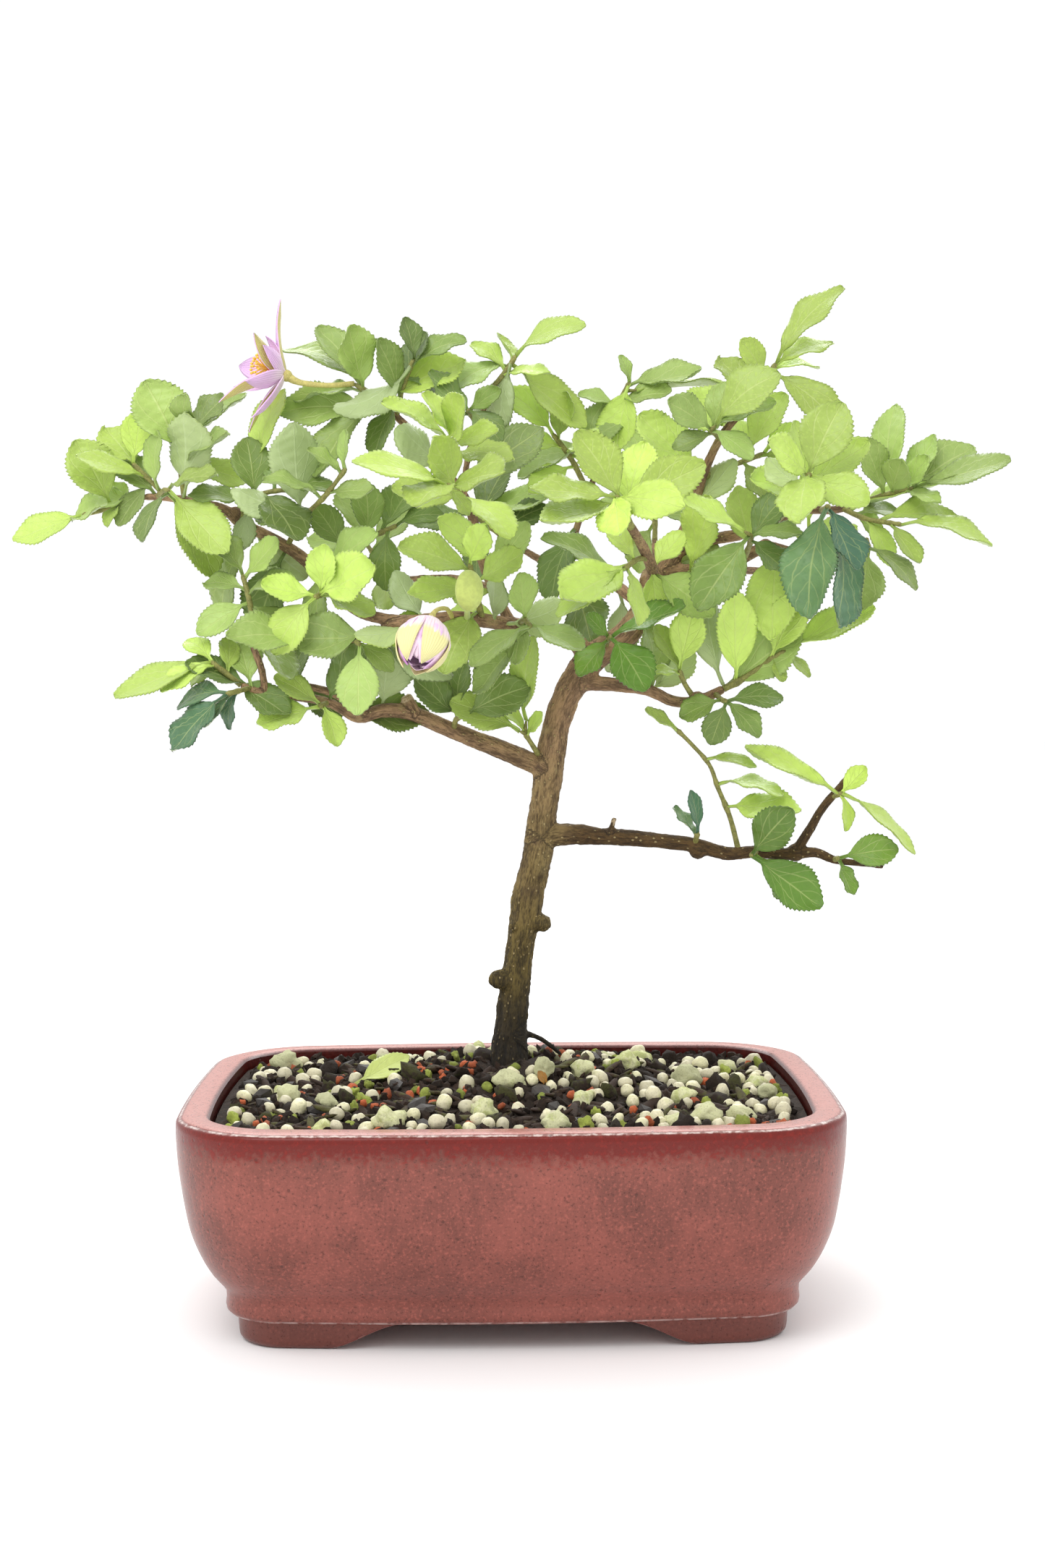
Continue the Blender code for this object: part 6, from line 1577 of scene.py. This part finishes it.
def make_bud(settings):
    """Ribbed oval bud on its stalk."""
    green = plain_finish("bud", settings.bud, 0.55, 6 * MM, 0.1 * MM, 0.85, 1.12, sheen_weight=0.2)
    centre = seen(*BUD_CENTRE)
    bm = new_bloom()
    add_twig(bm, route_of(BUD_STALK) + [(centre, 2.0 * MM)], 10, [], 0)
    matrix = Matrix.Translation(centre) @ Matrix.Diagonal((*BUD_SIZE, 1))
    made = bmesh.ops.create_uvsphere(bm, u_segments=40, v_segments=20, radius=1.0, matrix=matrix)["verts"]
    for vert in made:
        out = vert.co - centre
        girth = 0.95 + 0.05 * math.cos(5 * math.atan2(out.y, out.x))
        vert.co = centre + Vector((out.x * girth, out.y * girth, out.z))
    settle(object_from(bm, "flower_bud_fine", [green]), "bud_green", "flower_bud")


def make_loose_leaf(leaf, colour, settings):
    """Leaf leaning on the soil, in the place and at the height of its solid."""
    finish = leaf_finish(leaf.node, settings, colour, False)
    (x0, y0), (x1, y1) = leaf.ends
    rise = math.radians(leaf.rise)
    length = math.hypot(x1 - x0, y1 - y0) / math.cos(rise) * MM
    pose = (Vector((1, 0, 0)), Vector((0, 1, 0)), Vector((0, 0, 1)), length, 0.5 * length * leaf.ratio)
    bm = new_bloom()
    teeth = max(round(length / settings.tooth), 4)
    form = Form(teeth, PETIOLE_SHARE, 0.16, leaf.curl, 0.05, settings.thickness, blade_width, 10)
    add_blade(bm, pose, Vector((0, 0, 0)), form, 0.6, 2.0)
    turned = (Matrix.Rotation(math.atan2(y1 - y0, x1 - x0), 4, "Z") @ Matrix.Rotation(-rise, 4, "Y")
              @ Matrix.Rotation(math.radians(leaf.lean), 4, "X"))
    bmesh.ops.transform(bm, matrix=turned, verts=bm.verts)
    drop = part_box(leaf.node)[0].z - min(vert.co.z for vert in bm.verts)
    bmesh.ops.translate(bm, verts=bm.verts, vec=Vector((x0 * MM, y0 * MM, drop)))
    settle(object_from(bm, leaf.node + "_fine", [finish, finish]), leaf.node, leaf.node)


def make_screens():
    """Looks of the plastic mesh over the drain holes."""
    plastic = plain_finish("screen_plastic", linear(40, 42, 44), 0.55, 4 * MM, 0.05 * MM)
    for node in ("drain_screen_left", "drain_screen_right"):
        NODES[node].data.materials.clear()
        NODES[node].data.materials.append(plastic)


def area_light(light, power):
    """Rectangular soft light that faces its target."""
    data = bpy.data.lights.new(light.name, "AREA")
    data.shape = "RECTANGLE"
    data.size, data.size_y = light.size
    data.energy = power * light.share
    obj = bpy.data.objects.new(light.name, data)
    obj.location = light.place
    obj.rotation_euler = (Vector(light.target) - Vector(light.place)).to_track_quat("-Z", "Y").to_euler()
    bpy.context.scene.collection.objects.link(obj)


def add_camera():
    """Camera at the eye, turned by the pan, the pitch and the roll."""
    data = bpy.data.cameras.new("camera")
    data.lens = FOCAL_LENGTH
    data.sensor_width = 36.0
    data.clip_end = 50.0
    ahead = Vector((math.sin(PAN) * math.cos(PITCH), math.cos(PAN) * math.cos(PITCH), -math.sin(PITCH)))
    right = Vector((math.cos(PAN), -math.sin(PAN), 0.0))
    up = right.cross(ahead)
    turned_right = right * math.cos(ROLL) + up * math.sin(ROLL)
    turned_up = up * math.cos(ROLL) - right * math.sin(ROLL)
    camera = bpy.data.objects.new("camera", data)
    axes = Matrix((turned_right, turned_up, -ahead)).transposed().to_4x4()
    camera.matrix_world = Matrix.Translation(EYE * MM) @ axes
    bpy.context.scene.collection.objects.link(camera)
    bpy.context.scene.camera = camera


def make_stage(settings):
    """Plain pale floor, even white surroundings, soft lights and the camera."""
    bm = bmesh.new()
    bmesh.ops.create_grid(bm, x_segments=1, y_segments=1, size=FLOOR_REACH)
    floor = object_from(bm, "floor", [Finish("floor", 0.9, base_color=tuple(settings.floor)).material])
    world = bpy.data.worlds.new("surroundings")
    world.use_nodes = True
    background = world.node_tree.nodes["Background"]
    background.inputs["Color"].default_value = (1.0, 1.0, 1.0, 1.0)
    background.inputs["Strength"].default_value = settings.fill
    bpy.context.scene.world = world
    for light in LIGHTS:
        area_light(light, settings.key)
    add_camera()
    bpy.context.scene.view_settings.view_transform = "Standard"


class BONSAI_OT_pot(bpy.types.Operator):
    """Glazed pot with its feet, arches and drain holes"""

    bl_idname = "bonsai.pot"
    bl_label = "Pot"

    def execute(self, context):
        make_pot(context.scene.bonsai_pot)
        make_screens()
        return {"FINISHED"}


class BONSAI_OT_soil(bpy.types.Operator):
    """Earth, pellets, pumice, clods, stones, chips, lava, moss and crumbs in the pot"""

    bl_idname = "bonsai.soil"
    bl_label = "Soil"

    def execute(self, context):
        make_soil(context.scene.bonsai_soil)
        return {"FINISHED"}


class BONSAI_OT_wood(bpy.types.Operator):
    """Trunk, branches, knobs, cut ends and surface root"""

    bl_idname = "bonsai.wood"
    bl_label = "Wood"

    def execute(self, context):
        make_wood(context.scene.bonsai_wood)
        return {"FINISHED"}


class BONSAI_OT_stems(bpy.types.Operator):
    """Every leafy stem with its twig and toothed leaves"""

    bl_idname = "bonsai.stems"
    bl_label = "Leafy stems"

    def execute(self, context):
        make_leafy_stems(context.scene.bonsai_leaf)
        return {"FINISHED"}


class BONSAI_OT_flowers(bpy.types.Operator):
    """Open flower, half-open flower and bud"""

    bl_idname = "bonsai.flowers"
    bl_label = "Flowers"

    def execute(self, context):
        settings = context.scene.bonsai_flower
        make_open_flower(settings)
        make_half_open_flower(settings)
        make_bud(settings)
        return {"FINISHED"}


class BONSAI_OT_litter(bpy.types.Operator):
    """Fallen leaf and dead leaf on the soil"""

    bl_idname = "bonsai.litter"
    bl_label = "Loose leaves"

    def execute(self, context):
        settings = context.scene.bonsai_litter
        for leaf, colour in zip(LOOSE_LEAVES, (settings.fallen, settings.dead)):
            make_loose_leaf(leaf, colour, context.scene.bonsai_leaf)
        return {"FINISHED"}


class BONSAI_OT_stage(bpy.types.Operator):
    """Floor, surroundings, lights and camera"""

    bl_idname = "bonsai.stage"
    bl_label = "Stage"

    def execute(self, context):
        make_stage(context.scene.bonsai_stage)
        return {"FINISHED"}


SETTINGS = {
    "bonsai_pot": PotSettings,
    "bonsai_soil": SoilSettings,
    "bonsai_wood": WoodSettings,
    "bonsai_leaf": LeafSettings,
    "bonsai_flower": FlowerSettings,
    "bonsai_litter": LitterSettings,
    "bonsai_stage": StageSettings,
}
OPERATORS = (BONSAI_OT_pot, BONSAI_OT_soil, BONSAI_OT_wood, BONSAI_OT_stems, BONSAI_OT_flowers,
             BONSAI_OT_litter, BONSAI_OT_stage)


class BONSAI_PT_panel(bpy.types.Panel):
    """Buttons and settings of the bonsai's pieces"""

    bl_label = "Bonsai"
    bl_space_type = "VIEW_3D"
    bl_region_type = "UI"
    bl_category = "Bonsai"

    def draw(self, context):
        for (name, group), operator in zip(SETTINGS.items(), OPERATORS):
            box = self.layout.box()
            box.operator(operator.bl_idname)
            settings = getattr(context.scene, name)
            for setting in group.__annotations__:
                box.prop(settings, setting)


def register():
    for group in SETTINGS.values():
        bpy.utils.register_class(group)
    for name, group in SETTINGS.items():
        setattr(bpy.types.Scene, name, bpy.props.PointerProperty(type=group))
    for operator in OPERATORS:
        bpy.utils.register_class(operator)
    bpy.utils.register_class(BONSAI_PT_panel)


def unregister():
    bpy.utils.unregister_class(BONSAI_PT_panel)
    for operator in reversed(OPERATORS):
        bpy.utils.unregister_class(operator)
    for name, group in SETTINGS.items():
        delattr(bpy.types.Scene, name)
        bpy.utils.unregister_class(group)


def main():
    register()
    bpy.ops.bonsai.stage()
    bpy.ops.bonsai.pot()
    bpy.ops.bonsai.soil()
    bpy.ops.bonsai.wood()
    bpy.ops.bonsai.stems()
    bpy.ops.bonsai.flowers()
    bpy.ops.bonsai.litter()


if __name__ == "__main__":
    main()
